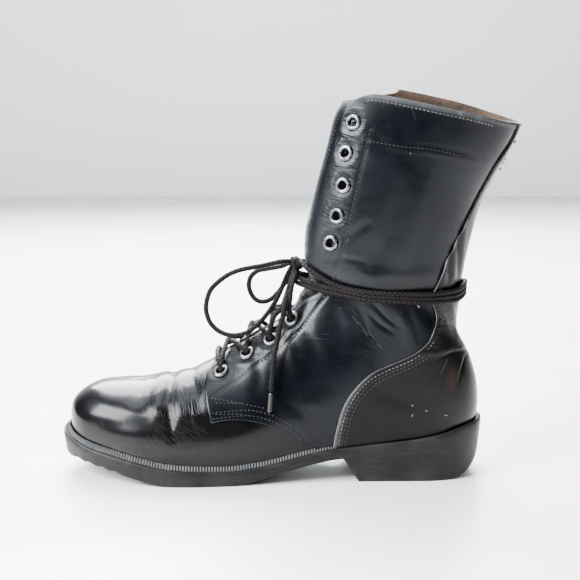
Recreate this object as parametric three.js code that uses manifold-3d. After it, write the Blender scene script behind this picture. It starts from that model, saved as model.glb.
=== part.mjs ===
// A left combat boot of black leather on a moulded rubber sole, standing empty on its heel and ball.
// Millimetres, +Z up, toe towards -X, outer side towards -Y. The origin is on the heel's flat ground face,
// on the middle line and under the shaft.
//
// The form of the last is a row of sections. Each lies in a plane across the boot and runs from a front point
// on the top ridge to a back point under the foot or on the back line. The sections are upright at the toe,
// fan round the instep and lie nearly flat in the shaft. Upper, counter, tongue, insole, welt and the seat in
// the sole are all cut from this one form, grown or shrunk.
import * as THREE from 'three';
import { mergeVertices } from 'three/addons/utils/BufferGeometryUtils.js';
import Module from 'manifold-3d';

const wasm = await Module();
wasm.setup();

// Driving dimensions
const SOLE_LENGTH = 302;
const BALL_WIDTH = 103;
const HEEL_WIDTH = 71;
const SHAFT_WIDTH = 74;
const ANKLE_HEIGHT = 131;
const COLLAR_HEIGHT = 270;
const COLLAR_LEAN = 0.13;

// Sole
const SOLE_HEIGHT = 10.3;
const HEEL_HEIGHT = 30.5;
const TOE_SPRING = 14;
const SOLE_MARGIN = 4;
const HEEL_MARGIN = 1.6;
const SOLE_TAPER = 2;
const SHOULDER = 1.6;
const BREAST_SLANT = 11;
const HEEL_WEAR = 15;
const TREAD_DEPTH = 2;
const TREAD_GROOVE = 3.4;
const TREAD_PITCH = 14;
const WELT_HEIGHT = 4;
const WELT_WIDTH = 3;
const WELT_LIP = 0.4;

// Leather
const UPPER_WALL = 1.8;
const QUARTER_STEP = 1.2;
const COUNTER_WALL = 1.5;
const TONGUE_WALL = 2.2;
const INSOLE_WALL = 4;
const LASTING_DEPTH = 5;
const GAP = 0.3;

// Eyelets
const EYELET_OUTER = 11.4;
const EYELET_BORE = 5.8;
const EYELET_BARREL = 0.8;
const EYELET_FLANGE = 0.9;

// Lace
const LACE = 3.6;
const BAR_SINK = 1;
const AGLET = 2.9;
const AGLET_LENGTH = 14;

const FORM_ROWS = 29;
const FORM_AROUND = 20;
const SIDE = { outer: -1, inner: 1 };
const REACH = 120;
const PROFILE_STEPS = 26;
const RIM_STEPS = 34;
const SEARCH_STEPS = 40;
const TONGUE_STEPS = 18;
const TONGUE_ACROSS = 6;

const lerp = (a, b, t) => a + (b - a) * t;
const clamp = (v, low, high) => Math.min(high, Math.max(low, v));
const X = (share) => share * SOLE_LENGTH;

// Planes in front of the toe and behind the heel and shaft, clear of the boot.
const AHEAD = X(-0.92);
const BEHIND = X(0.45);
const ABOVE = 2 * COLLAR_HEIGHT;

// A height from its share: 0 is the ground, 1 the ankle, 2 the front of the collar.
const Z = (share) =>
  Math.min(share, 1) * ANKLE_HEIGHT + Math.max(share - 1, 0) * (COLLAR_HEIGHT - ANKLE_HEIGHT);

// One column of a table at a fractional row, on a smooth curve through the rows.
function column(rows, name, at) {
  const last = rows.length - 1;
  const i = clamp(Math.floor(at), 0, last - 1);
  const t = at - i;
  const b = rows[i][name];
  const c = rows[i + 1][name];
  const a = i > 0 ? rows[i - 1][name] : 2 * b - c;
  const d = i + 2 <= last ? rows[i + 2][name] : 2 * c - b;
  const square = 2 * a - 5 * b + 4 * c - d;
  const cube = 3 * b - a - 3 * c + d;
  return 0.5 * (2 * b + (c - a) * t + square * t ** 2 + cube * t ** 3);
}

// Side profile of the sole, toe to heel. x is a share of its length. spring and lift say how far the toe
// spring and the heel raise it; under, rim and bed are shares of its height at the ball.
const SOLE_PROFILE = [
  { x: -0.843, spring: 1.00, lift: 0.000, under: 0.00, rim: 1.65, bed: 1.17 },
  { x: -0.795, spring: 0.95, lift: 0.000, under: 0.00, rim: 1.23, bed: 0.95 },
  { x: -0.745, spring: 0.80, lift: 0.000, under: 0.00, rim: 1.10, bed: 0.88 },
  { x: -0.709, spring: 0.64, lift: 0.000, under: 0.00, rim: 1.12, bed: 0.90 },
  { x: -0.662, spring: 0.38, lift: 0.000, under: 0.00, rim: 1.18, bed: 0.96 },
  { x: -0.619, spring: 0.17, lift: 0.000, under: 0.00, rim: 1.19, bed: 0.97 },
  { x: -0.583, spring: 0.04, lift: 0.000, under: 0.00, rim: 1.17, bed: 0.95 },
  { x: -0.530, spring: 0.00, lift: 0.000, under: 0.00, rim: 1.08, bed: 0.87 },
  { x: -0.440, spring: 0.00, lift: 0.000, under: 0.00, rim: 1.00, bed: 0.80 },
  { x: -0.394, spring: 0.00, lift: 0.035, under: 0.01, rim: 1.00, bed: 0.80 },
  { x: -0.334, spring: 0.00, lift: 0.130, under: 0.17, rim: 1.00, bed: 0.79 },
  { x: -0.265, spring: 0.00, lift: 0.295, under: 0.24, rim: 1.00, bed: 0.78 },
  { x: -0.192, spring: 0.00, lift: 0.449, under: 0.22, rim: 1.00, bed: 0.75 },
  { x: -0.103, spring: 0.00, lift: 0.548, under: 0.20, rim: 1.00, bed: 0.62 },
  { x: 0.000, spring: 0.00, lift: 0.660, under: 0.20, rim: 1.00, bed: 0.42 },
  { x: 0.060, spring: 0.00, lift: 0.700, under: 0.20, rim: 1.23, bed: 0.38 },
  { x: 0.109, spring: 0.00, lift: 0.720, under: 0.20, rim: 1.55, bed: 0.35 },
  { x: 0.160, spring: 0.00, lift: 0.720, under: 0.20, rim: 1.76, bed: 0.35 },
];
function profile(x, name) {
  let k = 0;
  while (k < SOLE_PROFILE.length - 2 && X(SOLE_PROFILE[k + 1].x) < x) k += 1;
  const at = k + clamp((x - X(SOLE_PROFILE[k].x)) / X(SOLE_PROFILE[k + 1].x - SOLE_PROFILE[k].x), 0, 1);
  const share = (key) => column(SOLE_PROFILE, key, at);
  const height = share('spring') * TOE_SPRING + share('lift') * HEEL_HEIGHT + share(name) * SOLE_HEIGHT;
  return Math.max(height, 0);
}

// Width of the foot along the sole, from the ball's to the heel's.
const WIDE_END = X(-0.42);
const NARROW_START = X(-0.18);
function footWidth(x) {
  return lerp(BALL_WIDTH, HEEL_WIDTH, THREE.MathUtils.smoothstep(x, WIDE_END, NARROW_START));
}

// Plan of the upper above the sole, toe to heel, from the middle line to each side, in shares of that width.
const TOE_TIP = { x: -0.830, y: 0.050 };
const PLAN = [
  { x: -0.822, outer: 0.100, inner: 0.200 },
  { x: -0.798, outer: 0.225, inner: 0.318 },
  { x: -0.755, outer: 0.335, inner: 0.408 },
  { x: -0.690, outer: 0.425, inner: 0.466 },
  { x: -0.615, outer: 0.480, inner: 0.488 },
  { x: -0.545, outer: 0.498, inner: 0.474 },
  { x: -0.475, outer: 0.486, inner: 0.440 },
  { x: -0.400, outer: 0.461, inner: 0.396 },
  { x: -0.325, outer: 0.476, inner: 0.394 },
  { x: -0.250, outer: 0.520, inner: 0.430 },
  { x: -0.170, outer: 0.536, inner: 0.468 },
  { x: -0.090, outer: 0.516, inner: 0.478 },
  { x: -0.020, outer: 0.508, inner: 0.490 },
  { x: 0.045, outer: 0.494, inner: 0.488 },
  { x: 0.098, outer: 0.424, inner: 0.424 },
  { x: 0.135, outer: 0.270, inner: 0.276 },
  { x: 0.152, outer: 0.060, inner: 0.070 },
];

// Sections of the last in side view, toe to collar, from the front ridge to the back. A back height of null
// lies under the sole's bed. centre moves the section sideways, in shares of the width across it.
const SECTION_LINES = [
  { frontX: -0.828, frontZ: 0.300, backX: -0.817, backZ: null, centre: 0.050 },
  { frontX: -0.820, frontZ: 0.378, backX: -0.806, backZ: null, centre: 0.048 },
  { frontX: -0.794, frontZ: 0.440, backX: -0.778, backZ: null, centre: 0.042 },
  { frontX: -0.750, frontZ: 0.486, backX: -0.733, backZ: null, centre: 0.032 },
  { frontX: -0.685, frontZ: 0.502, backX: -0.674, backZ: null, centre: 0.018 },
  { frontX: -0.618, frontZ: 0.522, backX: -0.608, backZ: null, centre: 0.008 },
  { frontX: -0.552, frontZ: 0.546, backX: -0.538, backZ: null, centre: 0.000 },
  { frontX: -0.494, frontZ: 0.600, backX: -0.465, backZ: null, centre: 0.000 },
  { frontX: -0.440, frontZ: 0.676, backX: -0.387, backZ: null, centre: 0.000 },
  { frontX: -0.381, frontZ: 0.772, backX: -0.304, backZ: null, centre: 0.000 },
  { frontX: -0.327, frontZ: 0.853, backX: -0.212, backZ: null, centre: 0.000 },
  { frontX: -0.293, frontZ: 0.933, backX: -0.113, backZ: null, centre: 0.000 },
  { frontX: -0.277, frontZ: 1.022, backX: 0.000, backZ: null, centre: 0.000 },
  { frontX: -0.273, frontZ: 1.094, backX: 0.092, backZ: null, centre: 0.000 },
  { frontX: -0.271, frontZ: 1.158, backX: 0.142, backZ: 0.300, centre: 0.000 },
  { frontX: -0.270, frontZ: 1.223, backX: 0.147, backZ: 0.473, centre: 0.000 },
  { frontX: -0.267, frontZ: 1.288, backX: 0.128, backZ: 0.640, centre: 0.000 },
  { frontX: -0.262, frontZ: 1.345, backX: 0.095, backZ: 0.800, centre: 0.000 },
  { frontX: -0.255, frontZ: 1.410, backX: 0.103, backZ: 0.950, centre: -0.004 },
  { frontX: -0.247, frontZ: 1.482, backX: 0.108, backZ: 1.100, centre: -0.008 },
  { frontX: -0.237, frontZ: 1.568, backX: 0.126, backZ: 1.290, centre: -0.014 },
  { frontX: -0.222, frontZ: 1.690, backX: 0.154, backZ: 1.500, centre: -0.022 },
  { frontX: -0.209, frontZ: 1.820, backX: 0.205, backZ: 1.700, centre: -0.032 },
  { frontX: -0.199, frontZ: 1.957, backX: 0.242, backZ: 1.880, centre: -0.044 },
  { frontX: -0.189, frontZ: 2.108, backX: 0.278, backZ: 2.060, centre: -0.056 },
];

// The shape of the same sections. outer and inner are half widths in shares of the width across, which is the
// foot's width at the back point where it is null. widest is where along the section it is widest, and round
// and square say how full it is before and after that.
const SECTION_SHAPES = [
  { across: null, outer: 0.000, inner: 0.000, widest: 0.60, round: 2.20, square: 4.00 },
  { across: null, outer: 0.180, inner: 0.180, widest: 0.60, round: 2.20, square: 4.20 },
  { across: null, outer: 0.300, inner: 0.298, widest: 0.61, round: 2.20, square: 4.50 },
  { across: null, outer: 0.386, inner: 0.382, widest: 0.62, round: 2.20, square: 4.50 },
  { across: null, outer: 0.452, inner: 0.446, widest: 0.63, round: 2.20, square: 4.50 },
  { across: null, outer: 0.490, inner: 0.480, widest: 0.64, round: 2.10, square: 4.50 },
  { across: null, outer: 0.500, inner: 0.474, widest: 0.66, round: 2.00, square: 4.50 },
  { across: null, outer: 0.490, inner: 0.444, widest: 0.68, round: 1.95, square: 4.50 },
  { across: null, outer: 0.472, inner: 0.411, widest: 0.70, round: 1.90, square: 4.40 },
  { across: null, outer: 0.509, inner: 0.436, widest: 0.70, round: 1.90, square: 4.20 },
  { across: null, outer: 0.573, inner: 0.505, widest: 0.68, round: 1.90, square: 4.20 },
  { across: null, outer: 0.552, inner: 0.506, widest: 0.64, round: 1.95, square: 4.40 },
  { across: null, outer: 0.530, inner: 0.506, widest: 0.60, round: 2.00, square: 4.40 },
  { across: null, outer: 0.516, inner: 0.502, widest: 0.57, round: 2.00, square: 3.60 },
  { across: HEEL_WIDTH, outer: 0.506, inner: 0.500, widest: 0.55, round: 2.00, square: 2.80 },
  { across: HEEL_WIDTH, outer: 0.500, inner: 0.498, widest: 0.53, round: 2.00, square: 2.40 },
  { across: SHAFT_WIDTH, outer: 0.482, inner: 0.480, widest: 0.52, round: 2.00, square: 2.10 },
  { across: SHAFT_WIDTH, outer: 0.482, inner: 0.479, widest: 0.51, round: 2.00, square: 2.00 },
  { across: SHAFT_WIDTH, outer: 0.487, inner: 0.484, widest: 0.50, round: 2.00, square: 1.95 },
  { across: SHAFT_WIDTH, outer: 0.496, inner: 0.490, widest: 0.50, round: 2.00, square: 1.90 },
  { across: SHAFT_WIDTH, outer: 0.500, inner: 0.496, widest: 0.49, round: 2.00, square: 1.90 },
  { across: SHAFT_WIDTH, outer: 0.496, inner: 0.490, widest: 0.48, round: 2.00, square: 1.90 },
  { across: SHAFT_WIDTH, outer: 0.480, inner: 0.474, widest: 0.47, round: 2.00, square: 1.90 },
  { across: SHAFT_WIDTH, outer: 0.462, inner: 0.456, widest: 0.47, round: 2.00, square: 1.90 },
  { across: SHAFT_WIDTH, outer: 0.446, inner: 0.440, widest: 0.47, round: 2.00, square: 1.90 },
];
const SECTIONS = SECTION_LINES.map((line, k) => {
  const shape = SECTION_SHAPES[k];
  const backX = X(line.backX);
  const across = shape.across ?? footWidth(backX);
  return {
    frontX: X(line.frontX),
    frontZ: Z(line.frontZ),
    backX,
    backZ: line.backZ === null ? profile(backX, 'bed') - LASTING_DEPTH : Z(line.backZ),
    centre: line.centre * across,
    outer: shape.outer * across,
    inner: shape.inner * across,
    widest: shape.widest,
    round: shape.round,
    square: shape.square,
  };
});
const LAST_ROW = SECTIONS.length - 1;

// A point of the form: at is the row, angle runs from 0 on the front ridge to pi at the back, and on past it
// up the inner side.
function formPoint(at, angle) {
  const value = (name) => column(SECTIONS, name, at);
  const c = Math.cos(angle);
  const s = Math.sin(angle);
  const power = c >= 0 ? value('round') : value('square');
  const along = Math.abs(c) ** (2 / power);
  const widest = value('widest');
  const t = c >= 0 ? widest * (1 - along) : widest + (1 - widest) * along;
  const half = Math.abs(s) ** (2 / power);
  return new THREE.Vector3(
    lerp(value('frontX'), value('backX'), t),
    value('centre') + (s >= 0 ? -Math.max(value('outer'), 0) : Math.max(value('inner'), 0)) * half,
    lerp(value('frontZ'), value('backZ'), t),
  );
}

// The outward normal of the form, and a point that stands a little off it.
function formNormal(at, angle) {
  const step = 0.02;
  const low = clamp(at - step, 0, LAST_ROW);
  const high = clamp(at + step, 0, LAST_ROW);
  const along = formPoint(high, angle).sub(formPoint(low, angle));
  const round = formPoint(at, angle + step).sub(formPoint(at, angle - step));
  return round.cross(along).normalize();
}
const offForm = (at, angle, grow) => formPoint(at, angle).addScaledVector(formNormal(at, angle), grow);

// Row and angle of the form where a side view shows the point x, z on the given side.
function findOnForm(x, z, side) {
  const across = (at) => {
    const front = [column(SECTIONS, 'frontX', at), column(SECTIONS, 'frontZ', at)];
    const back = [column(SECTIONS, 'backX', at), column(SECTIONS, 'backZ', at)];
    const turn = (back[0] - front[0]) * (z - front[1]) - (back[1] - front[1]) * (x - front[0]);
    const t = Math.hypot(x - front[0], z - front[1]) / Math.hypot(back[0] - front[0], back[1] - front[1]);
    return { turn, t };
  };
  let low = 0;
  let high = LAST_ROW;
  for (let k = 0; k < SEARCH_STEPS; k += 1) {
    const middle = (low + high) / 2;
    if (across(middle).turn > 0) low = middle;
    else high = middle;
  }
  const at = (low + high) / 2;
  const widest = column(SECTIONS, 'widest', at);
  const t = clamp(across(at).t, 0, 1);
  const near = t <= widest;
  const power = column(SECTIONS, near ? 'round' : 'square', at);
  const c = near ? (1 - t / widest) ** (power / 2) : -(((t - widest) / (1 - widest)) ** (power / 2));
  return { at, angle: -side * Math.acos(clamp(c, -1, 1)) };
}

// Solids
function solidOf(geometry) {
  const plain = geometry.index ? geometry.toNonIndexed() : geometry.clone();
  plain.deleteAttribute('normal');
  plain.deleteAttribute('uv');
  const merged = mergeVertices(plain, 1e-4);
  return new wasm.Manifold(new wasm.Mesh({
    numProp: 3,
    vertProperties: new Float32Array(merged.attributes.position.array),
    triVerts: new Uint32Array(merged.index.array),
  }));
}

// A closed skin through rings of points, with a fan at each end.
function skinGeometry(rings) {
  const around = rings[0].length;
  const points = rings.flat();
  const faces = [];
  for (let r = 0; r < rings.length - 1; r += 1) {
    for (let k = 0; k < around; k += 1) {
      const a = r * around + k;
      const b = r * around + ((k + 1) % around);
      faces.push([a, b, a + around], [b, b + around, a + around]);
    }
  }
  const cap = (start, flip) => {
    const middle = new THREE.Vector3();
    for (let k = 0; k < around; k += 1) middle.addScaledVector(points[start + k], 1 / around);
    points.push(middle);
    for (let k = 0; k < around; k += 1) {
      const edge = [start + k, start + ((k + 1) % around)];
      faces.push(flip ? [edge[1], edge[0], points.length - 1] : [...edge, points.length - 1]);
    }
  };
  cap(0, true);
  cap((rings.length - 1) * around, false);
  const geometry = new THREE.BufferGeometry();
  geometry.setAttribute('position', new THREE.Float32BufferAttribute(points.flatMap((p) => p.toArray()), 3));
  geometry.setIndex(faces.flat());
  return geometry;
}

// The form as a solid, grown or shrunk along its normals.
const grown = new Map();
function form(grow) {
  if (grown.has(grow)) return grown.get(grow);
  const rings = [];
  for (let r = 0; r <= FORM_ROWS; r += 1) {
    const at = (r / FORM_ROWS) * LAST_ROW;
    const ring = [];
    for (let k = 0; k < FORM_AROUND; k += 1) ring.push(formPoint(at, (2 * Math.PI * k) / FORM_AROUND));
    rings.push(ring);
  }
  const merged = mergeVertices(skinGeometry(rings), 1e-4);
  merged.computeVertexNormals();
  const position = merged.attributes.position;
  const normal = merged.attributes.normal;
  for (let k = 0; k < position.count; k += 1) {
    const p = new THREE.Vector3().fromBufferAttribute(position, k);
    p.addScaledVector(new THREE.Vector3().fromBufferAttribute(normal, k), grow);
    position.setXYZ(k, p.x, p.y, p.z);
  }
  const solid = solidOf(merged);
  grown.set(grow, solid);
  return solid;
}

// A solid with an outline in side view, straight through from side to side. lean raises it towards the
// inner side.
function sideSolid(outline, lean = 0) {
  const shape = new THREE.Shape(outline.map(([x, z]) => new THREE.Vector2(x, z)));
  const geometry = new THREE.ExtrudeGeometry(shape, { depth: 2 * REACH, bevelEnabled: false });
  geometry.rotateX(Math.PI / 2).translate(0, REACH, 0);
  const position = geometry.attributes.position;
  for (let k = 0; k < position.count; k += 1) {
    position.setZ(k, position.getZ(k) + lean * position.getY(k));
  }
  return solidOf(geometry);
}

// Points of a profile line of the sole between two places, moved up by a distance.
function profileLine(name, fromX, toX, up, steps) {
  const line = [];
  for (let k = 0; k <= steps; k += 1) {
    const x = lerp(fromX, toX, k / steps);
    line.push([x, profile(x, name) + up]);
  }
  return line;
}

// Everything between two lines of the sole's side profile, and everything above its bed.
function between(lower, lowerUp, upper, upperUp, toX = BEHIND) {
  const top = profileLine(upper, AHEAD, toX, upperUp, PROFILE_STEPS);
  return sideSolid([...profileLine(lower, AHEAD, toX, lowerUp, PROFILE_STEPS), ...top.reverse()]);
}
function aboveBed(up) {
  const line = profileLine('bed', AHEAD, BEHIND, up, PROFILE_STEPS);
  return sideSolid([...line, [BEHIND, ABOVE], [AHEAD, ABOVE]]);
}

// Outlines in side view, as shares of the sole's length and of the ankle and collar heights.
const QUARTER_EDGE = [
  { x: -0.4550, z: 0.750 },
  { x: -0.4720, z: 0.610 },
  { x: -0.4870, z: 0.555 },
  { x: -0.4910, z: 0.500 },
  { x: -0.4860, z: 0.430 },
  { x: -0.4750, z: 0.340 },
];
const QUARTER_FOOT = [
  { x: -0.4750, z: 0.340 },
  { x: -0.4370, z: 0.352 },
  { x: -0.3970, z: 0.350 },
  { x: -0.3480, z: 0.326 },
  { x: -0.3050, z: 0.290 },
  { x: -0.2600, z: 0.230 },
  { x: -0.2050, z: 0.140 },
  { x: -0.1500, z: 0.000 },
];
const COUNTER_FRONT = [
  { x: 0.2430, z: 2.100 },
  { x: 0.2280, z: 1.835 },
  { x: 0.1790, z: 1.655 },
  { x: 0.1360, z: 1.482 },
  { x: 0.0990, z: 1.324 },
  { x: 0.0660, z: 1.180 },
  { x: 0.0460, z: 1.065 },
  { x: 0.0340, z: 1.000 },
  { x: 0.0360, z: 0.940 },
  { x: 0.0430, z: 0.878 },
  { x: 0.0330, z: 0.800 },
  { x: 0.0170, z: 0.742 },
  { x: -0.0170, z: 0.687 },
  { x: -0.0630, z: 0.641 },
  { x: -0.1090, z: 0.588 },
  { x: -0.1490, z: 0.496 },
  { x: -0.1720, z: 0.405 },
  { x: -0.1850, z: 0.305 },
  { x: -0.1930, z: 0.200 },
  { x: -0.1970, z: 0.050 },
];
const COLLAR_EDGE = [
  { x: -0.3000, z: 1.940 },
  { x: -0.1420, z: 2.000 },
  { x: -0.1060, z: 2.030 },
  { x: -0.0360, z: 2.010 },
  { x: 0.0580, z: 1.968 },
  { x: 0.1260, z: 1.935 },
  { x: 0.1990, z: 1.890 },
  { x: 0.2520, z: 1.866 },
  { x: 0.3500, z: 1.866 },
];
const THROAT_BACK = X(-0.135);

// The throat seen from the front: half its width, in shares of the shaft's width, at heights up the boot. It
// is pinched open where the lace goes round the ankle, and the corners of the flaps are round.
const THROAT = [
  { z: 0.628, half: 0.040 },
  { z: 0.665, half: 0.100 },
  { z: 0.740, half: 0.150 },
  { z: 0.820, half: 0.180 },
  { z: 0.900, half: 0.200 },
  { z: 0.960, half: 0.235 },
  { z: 1.005, half: 0.300 },
  { z: 1.045, half: 0.300 },
  { z: 1.095, half: 0.225 },
  { z: 1.160, half: 0.175 },
  { z: 1.280, half: 0.165 },
  { z: 1.440, half: 0.170 },
  { z: 1.620, half: 0.180 },
  { z: 1.800, half: 0.195 },
  { z: 1.890, half: 0.215 },
  { z: 1.945, half: 0.260 },
  { z: 1.985, half: 0.290 },
  { z: 2.010, half: 0.380 },
];

// A smooth line through the rows of a side view outline.
function smooth(rows, perRow = 2) {
  const points = rows.map(({ x, z }) => new THREE.Vector3(X(x), 0, Z(z)));
  const curve = new THREE.CatmullRomCurve3(points, false, 'centripetal');
  return curve.getPoints((rows.length - 1) * perRow).map((p) => [p.x, p.z]);
}

// A solid with an outline in front view, straight back from the toe to the middle of the shaft.
function frontSolid(outline) {
  const shape = new THREE.Shape(outline.map(([y, z]) => new THREE.Vector2(y, z)));
  const geometry = new THREE.ExtrudeGeometry(shape, { depth: THROAT_BACK - AHEAD, bevelEnabled: false });
  return solidOf(geometry.rotateX(Math.PI / 2).rotateZ(Math.PI / 2).translate(AHEAD, 0, 0));
}
const throatSide = smooth(THROAT.map(({ z, half }) => ({ x: half, z })));
const throatHalf = throatSide.map(([half, z]) => [(half / SOLE_LENGTH) * SHAFT_WIDTH, z]);
const throatOther = throatHalf.map(([y, z]) => [-y, z]).reverse();
const throatWidest = throatHalf.at(-1)[0];
const throatCut = frontSolid([...throatHalf, [throatWidest, ABOVE], [-throatWidest, ABOVE], ...throatOther]);

const collarLine = smooth(COLLAR_EDGE);
const collarCut = sideSolid([...collarLine, [BEHIND, ABOVE], [collarLine[0][0], ABOVE]], COLLAR_LEAN);

const quarterEdge = [...smooth(QUARTER_EDGE), ...smooth(QUARTER_FOOT).slice(1)];
const quarterSide = sideSolid([...quarterEdge, [BEHIND, 0], [BEHIND, ABOVE], [quarterEdge[0][0], ABOVE]]);
const counterSide = sideSolid([...smooth(COUNTER_FRONT), [BEHIND, 0], [BEHIND, ABOVE]]);

// The outside of all that stands in the sole, with a clearance round it.
function envelope(clear) {
  const quarter = form(QUARTER_STEP + clear).intersect(quarterSide);
  const counter = form(QUARTER_STEP + GAP + COUNTER_WALL + clear).intersect(counterSide);
  return form(clear).add(quarter).add(counter);
}

// Eyelets, low to high: four over the instep and five up the shaft, on each side.
const EYELETS = [
  { x: -0.455, z: 0.580 },
  { x: -0.394, z: 0.676 },
  { x: -0.338, z: 0.752 },
  { x: -0.288, z: 0.859 },
  { x: -0.199, z: 1.266 },
  { x: -0.185, z: 1.403 },
  { x: -0.172, z: 1.554 },
  { x: -0.166, z: 1.712 },
  { x: -0.149, z: 1.863 },
];
const eyeletSeats = Object.keys(SIDE).flatMap((side) =>
  EYELETS.map((row, k) => ({
    ...findOnForm(X(row.x), Z(row.z), SIDE[side]),
    name: `eyelet_${side}_${k + 1}`,
    side,
    number: k + 1,
  })));

// Sets a geometry that is modelled upright about Y onto the quarter at a place of the form.
function seated(geometry, seat) {
  const up = new THREE.Vector3(0, 1, 0);
  const turn = new THREE.Quaternion().setFromUnitVectors(up, formNormal(seat.at, seat.angle));
  const place = offForm(seat.at, seat.angle, QUARTER_STEP);
  return geometry.applyMatrix4(new THREE.Matrix4().compose(place, turn, new THREE.Vector3(1, 1, 1)));
}
const EYELET_SIDES = 8;
const BARREL_RADIUS = EYELET_BORE / 2 + EYELET_BARREL;
function eyeletSolid(seat) {
  const inner = EYELET_BORE / 2;
  const profilePoints = [
    [inner, -QUARTER_STEP - UPPER_WALL],
    [BARREL_RADIUS, -QUARTER_STEP - UPPER_WALL],
    [BARREL_RADIUS, GAP],
    [EYELET_OUTER / 2, GAP],
    [inner, GAP + EYELET_FLANGE],
    [inner, -QUARTER_STEP - UPPER_WALL],
  ].map(([r, h]) => new THREE.Vector2(r, h));
  return solidOf(seated(new THREE.LatheGeometry(profilePoints, EYELET_SIDES), seat));
}
function eyeletBore(seat) {
  const radius = (BARREL_RADIUS + GAP) / Math.cos(Math.PI / EYELET_SIDES);
  const bore = new THREE.CylinderGeometry(radius, radius, 4 * (QUARTER_STEP + UPPER_WALL), EYELET_SIDES);
  return solidOf(seated(bore.rotateY(Math.PI / 2), seat));
}

// Upper: vamp, quarters and shaft in one wall, the quarters a step thicker.
function upperSolid() {
  const outside = form(0).add(form(QUARTER_STEP).intersect(quarterSide));
  let upper = outside.subtract(form(-UPPER_WALL)).intersect(aboveBed(GAP));
  upper = upper.subtract(throatCut).subtract(collarCut);
  for (const seat of eyeletSeats) upper = upper.subtract(eyeletBore(seat));
  return upper;
}

// Tongue, from under the vamp up the front of the shaft. half is half its width in shares of the shaft's
// width, and curl says how far its edges lie behind its middle, in the same shares.
const TONGUE = [
  { x: -0.500, z: 0.540, half: 0.17, curl: 0.04 },
  { x: -0.450, z: 0.632, half: 0.22, curl: 0.09 },
  { x: -0.381, z: 0.744, half: 0.26, curl: 0.13 },
  { x: -0.326, z: 0.826, half: 0.28, curl: 0.16 },
  { x: -0.287, z: 0.905, half: 0.29, curl: 0.19 },
  { x: -0.270, z: 0.975, half: 0.29, curl: 0.19 },
  { x: -0.257, z: 1.030, half: 0.29, curl: 0.18 },
  { x: -0.248, z: 1.090, half: 0.30, curl: 0.17 },
  { x: -0.240, z: 1.170, half: 0.31, curl: 0.17 },
  { x: -0.231, z: 1.290, half: 0.32, curl: 0.17 },
  { x: -0.218, z: 1.430, half: 0.33, curl: 0.17 },
  { x: -0.200, z: 1.580, half: 0.33, curl: 0.17 },
  { x: -0.180, z: 1.720, half: 0.32, curl: 0.16 },
  { x: -0.160, z: 1.850, half: 0.30, curl: 0.14 },
  { x: -0.146, z: 1.940, half: 0.22, curl: 0.08 },
];

// A thin plate between two grids of points.
function plateSolid(outer, inner) {
  const rows = outer.length;
  const columns = outer[0].length;
  const points = [...outer.flat(), ...inner.flat()];
  const faces = [];
  const quad = (a, b, c, d) => faces.push([a, c, b], [a, d, c]);
  const out = (r, c) => r * columns + c;
  const inn = (r, c) => rows * columns + r * columns + c;
  for (let r = 0; r < rows - 1; r += 1) {
    for (let c = 0; c < columns - 1; c += 1) {
      quad(out(r, c), out(r, c + 1), out(r + 1, c + 1), out(r + 1, c));
      quad(inn(r, c), inn(r + 1, c), inn(r + 1, c + 1), inn(r, c + 1));
    }
    quad(out(r, 0), out(r + 1, 0), inn(r + 1, 0), inn(r, 0));
    quad(out(r, columns - 1), inn(r, columns - 1), inn(r + 1, columns - 1), out(r + 1, columns - 1));
  }
  for (let c = 0; c < columns - 1; c += 1) {
    quad(out(0, c), inn(0, c), inn(0, c + 1), out(0, c + 1));
    quad(out(rows - 1, c), out(rows - 1, c + 1), inn(rows - 1, c + 1), inn(rows - 1, c));
  }
  const geometry = new THREE.BufferGeometry();
  geometry.setAttribute('position', new THREE.Float32BufferAttribute(points.flatMap((p) => p.toArray()), 3));
  geometry.setIndex(faces.flat());
  return solidOf(geometry);
}
function tongueSolid() {
  const outer = [];
  const inner = [];
  for (let r = 0; r <= TONGUE_STEPS; r += 1) {
    const place = (name) => column(TONGUE, name, (r / TONGUE_STEPS) * (TONGUE.length - 1));
    const x = X(place('x'));
    const z = Z(place('z'));
    const { at } = findOnForm(x, z, SIDE.outer);
    const front = formPoint(at, 0);
    const back = formPoint(at, Math.PI).sub(front).setY(0).normalize();
    const row = (depth) => {
      const line = [];
      for (let c = 0; c <= TONGUE_ACROSS; c += 1) {
        const u = (2 * c) / TONGUE_ACROSS - 1;
        const behind = (place('curl') * u * u) * SHAFT_WIDTH + depth;
        const y = column(SECTIONS, 'centre', at) + place('half') * SHAFT_WIDTH * u;
        line.push(new THREE.Vector3(x + back.x * behind, y, z + back.z * behind));
      }
      return line;
    };
    outer.push(row(0));
    inner.push(row(TONGUE_WALL));
  }
  return plateSolid(outer, inner).intersect(form(-UPPER_WALL - GAP));
}

// Counter and backstay, one overlay from the shank round the heel and up the back of the shaft.
function counterSolid() {
  const near = QUARTER_STEP + GAP;
  const overlay = form(near + COUNTER_WALL).subtract(form(near)).intersect(counterSide);
  return overlay.intersect(aboveBed(GAP)).subtract(collarCut);
}

// Insole, inside the upper on the bed of the sole.
const insoleSolid = () => form(-UPPER_WALL - GAP).intersect(between('bed', GAP, 'bed', GAP + INSOLE_WALL));

// Places along the sole.
const WAIST = X(-0.25);
const WELT_END = X(-0.19);
const HEEL_BREAST = X(-0.169);
const HEEL_FLAT_END = X(0.06);
const HEEL_BACK = X(0.16);
const TREAD_START = X(-0.76);
const TREAD_END = X(-0.4);

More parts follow.
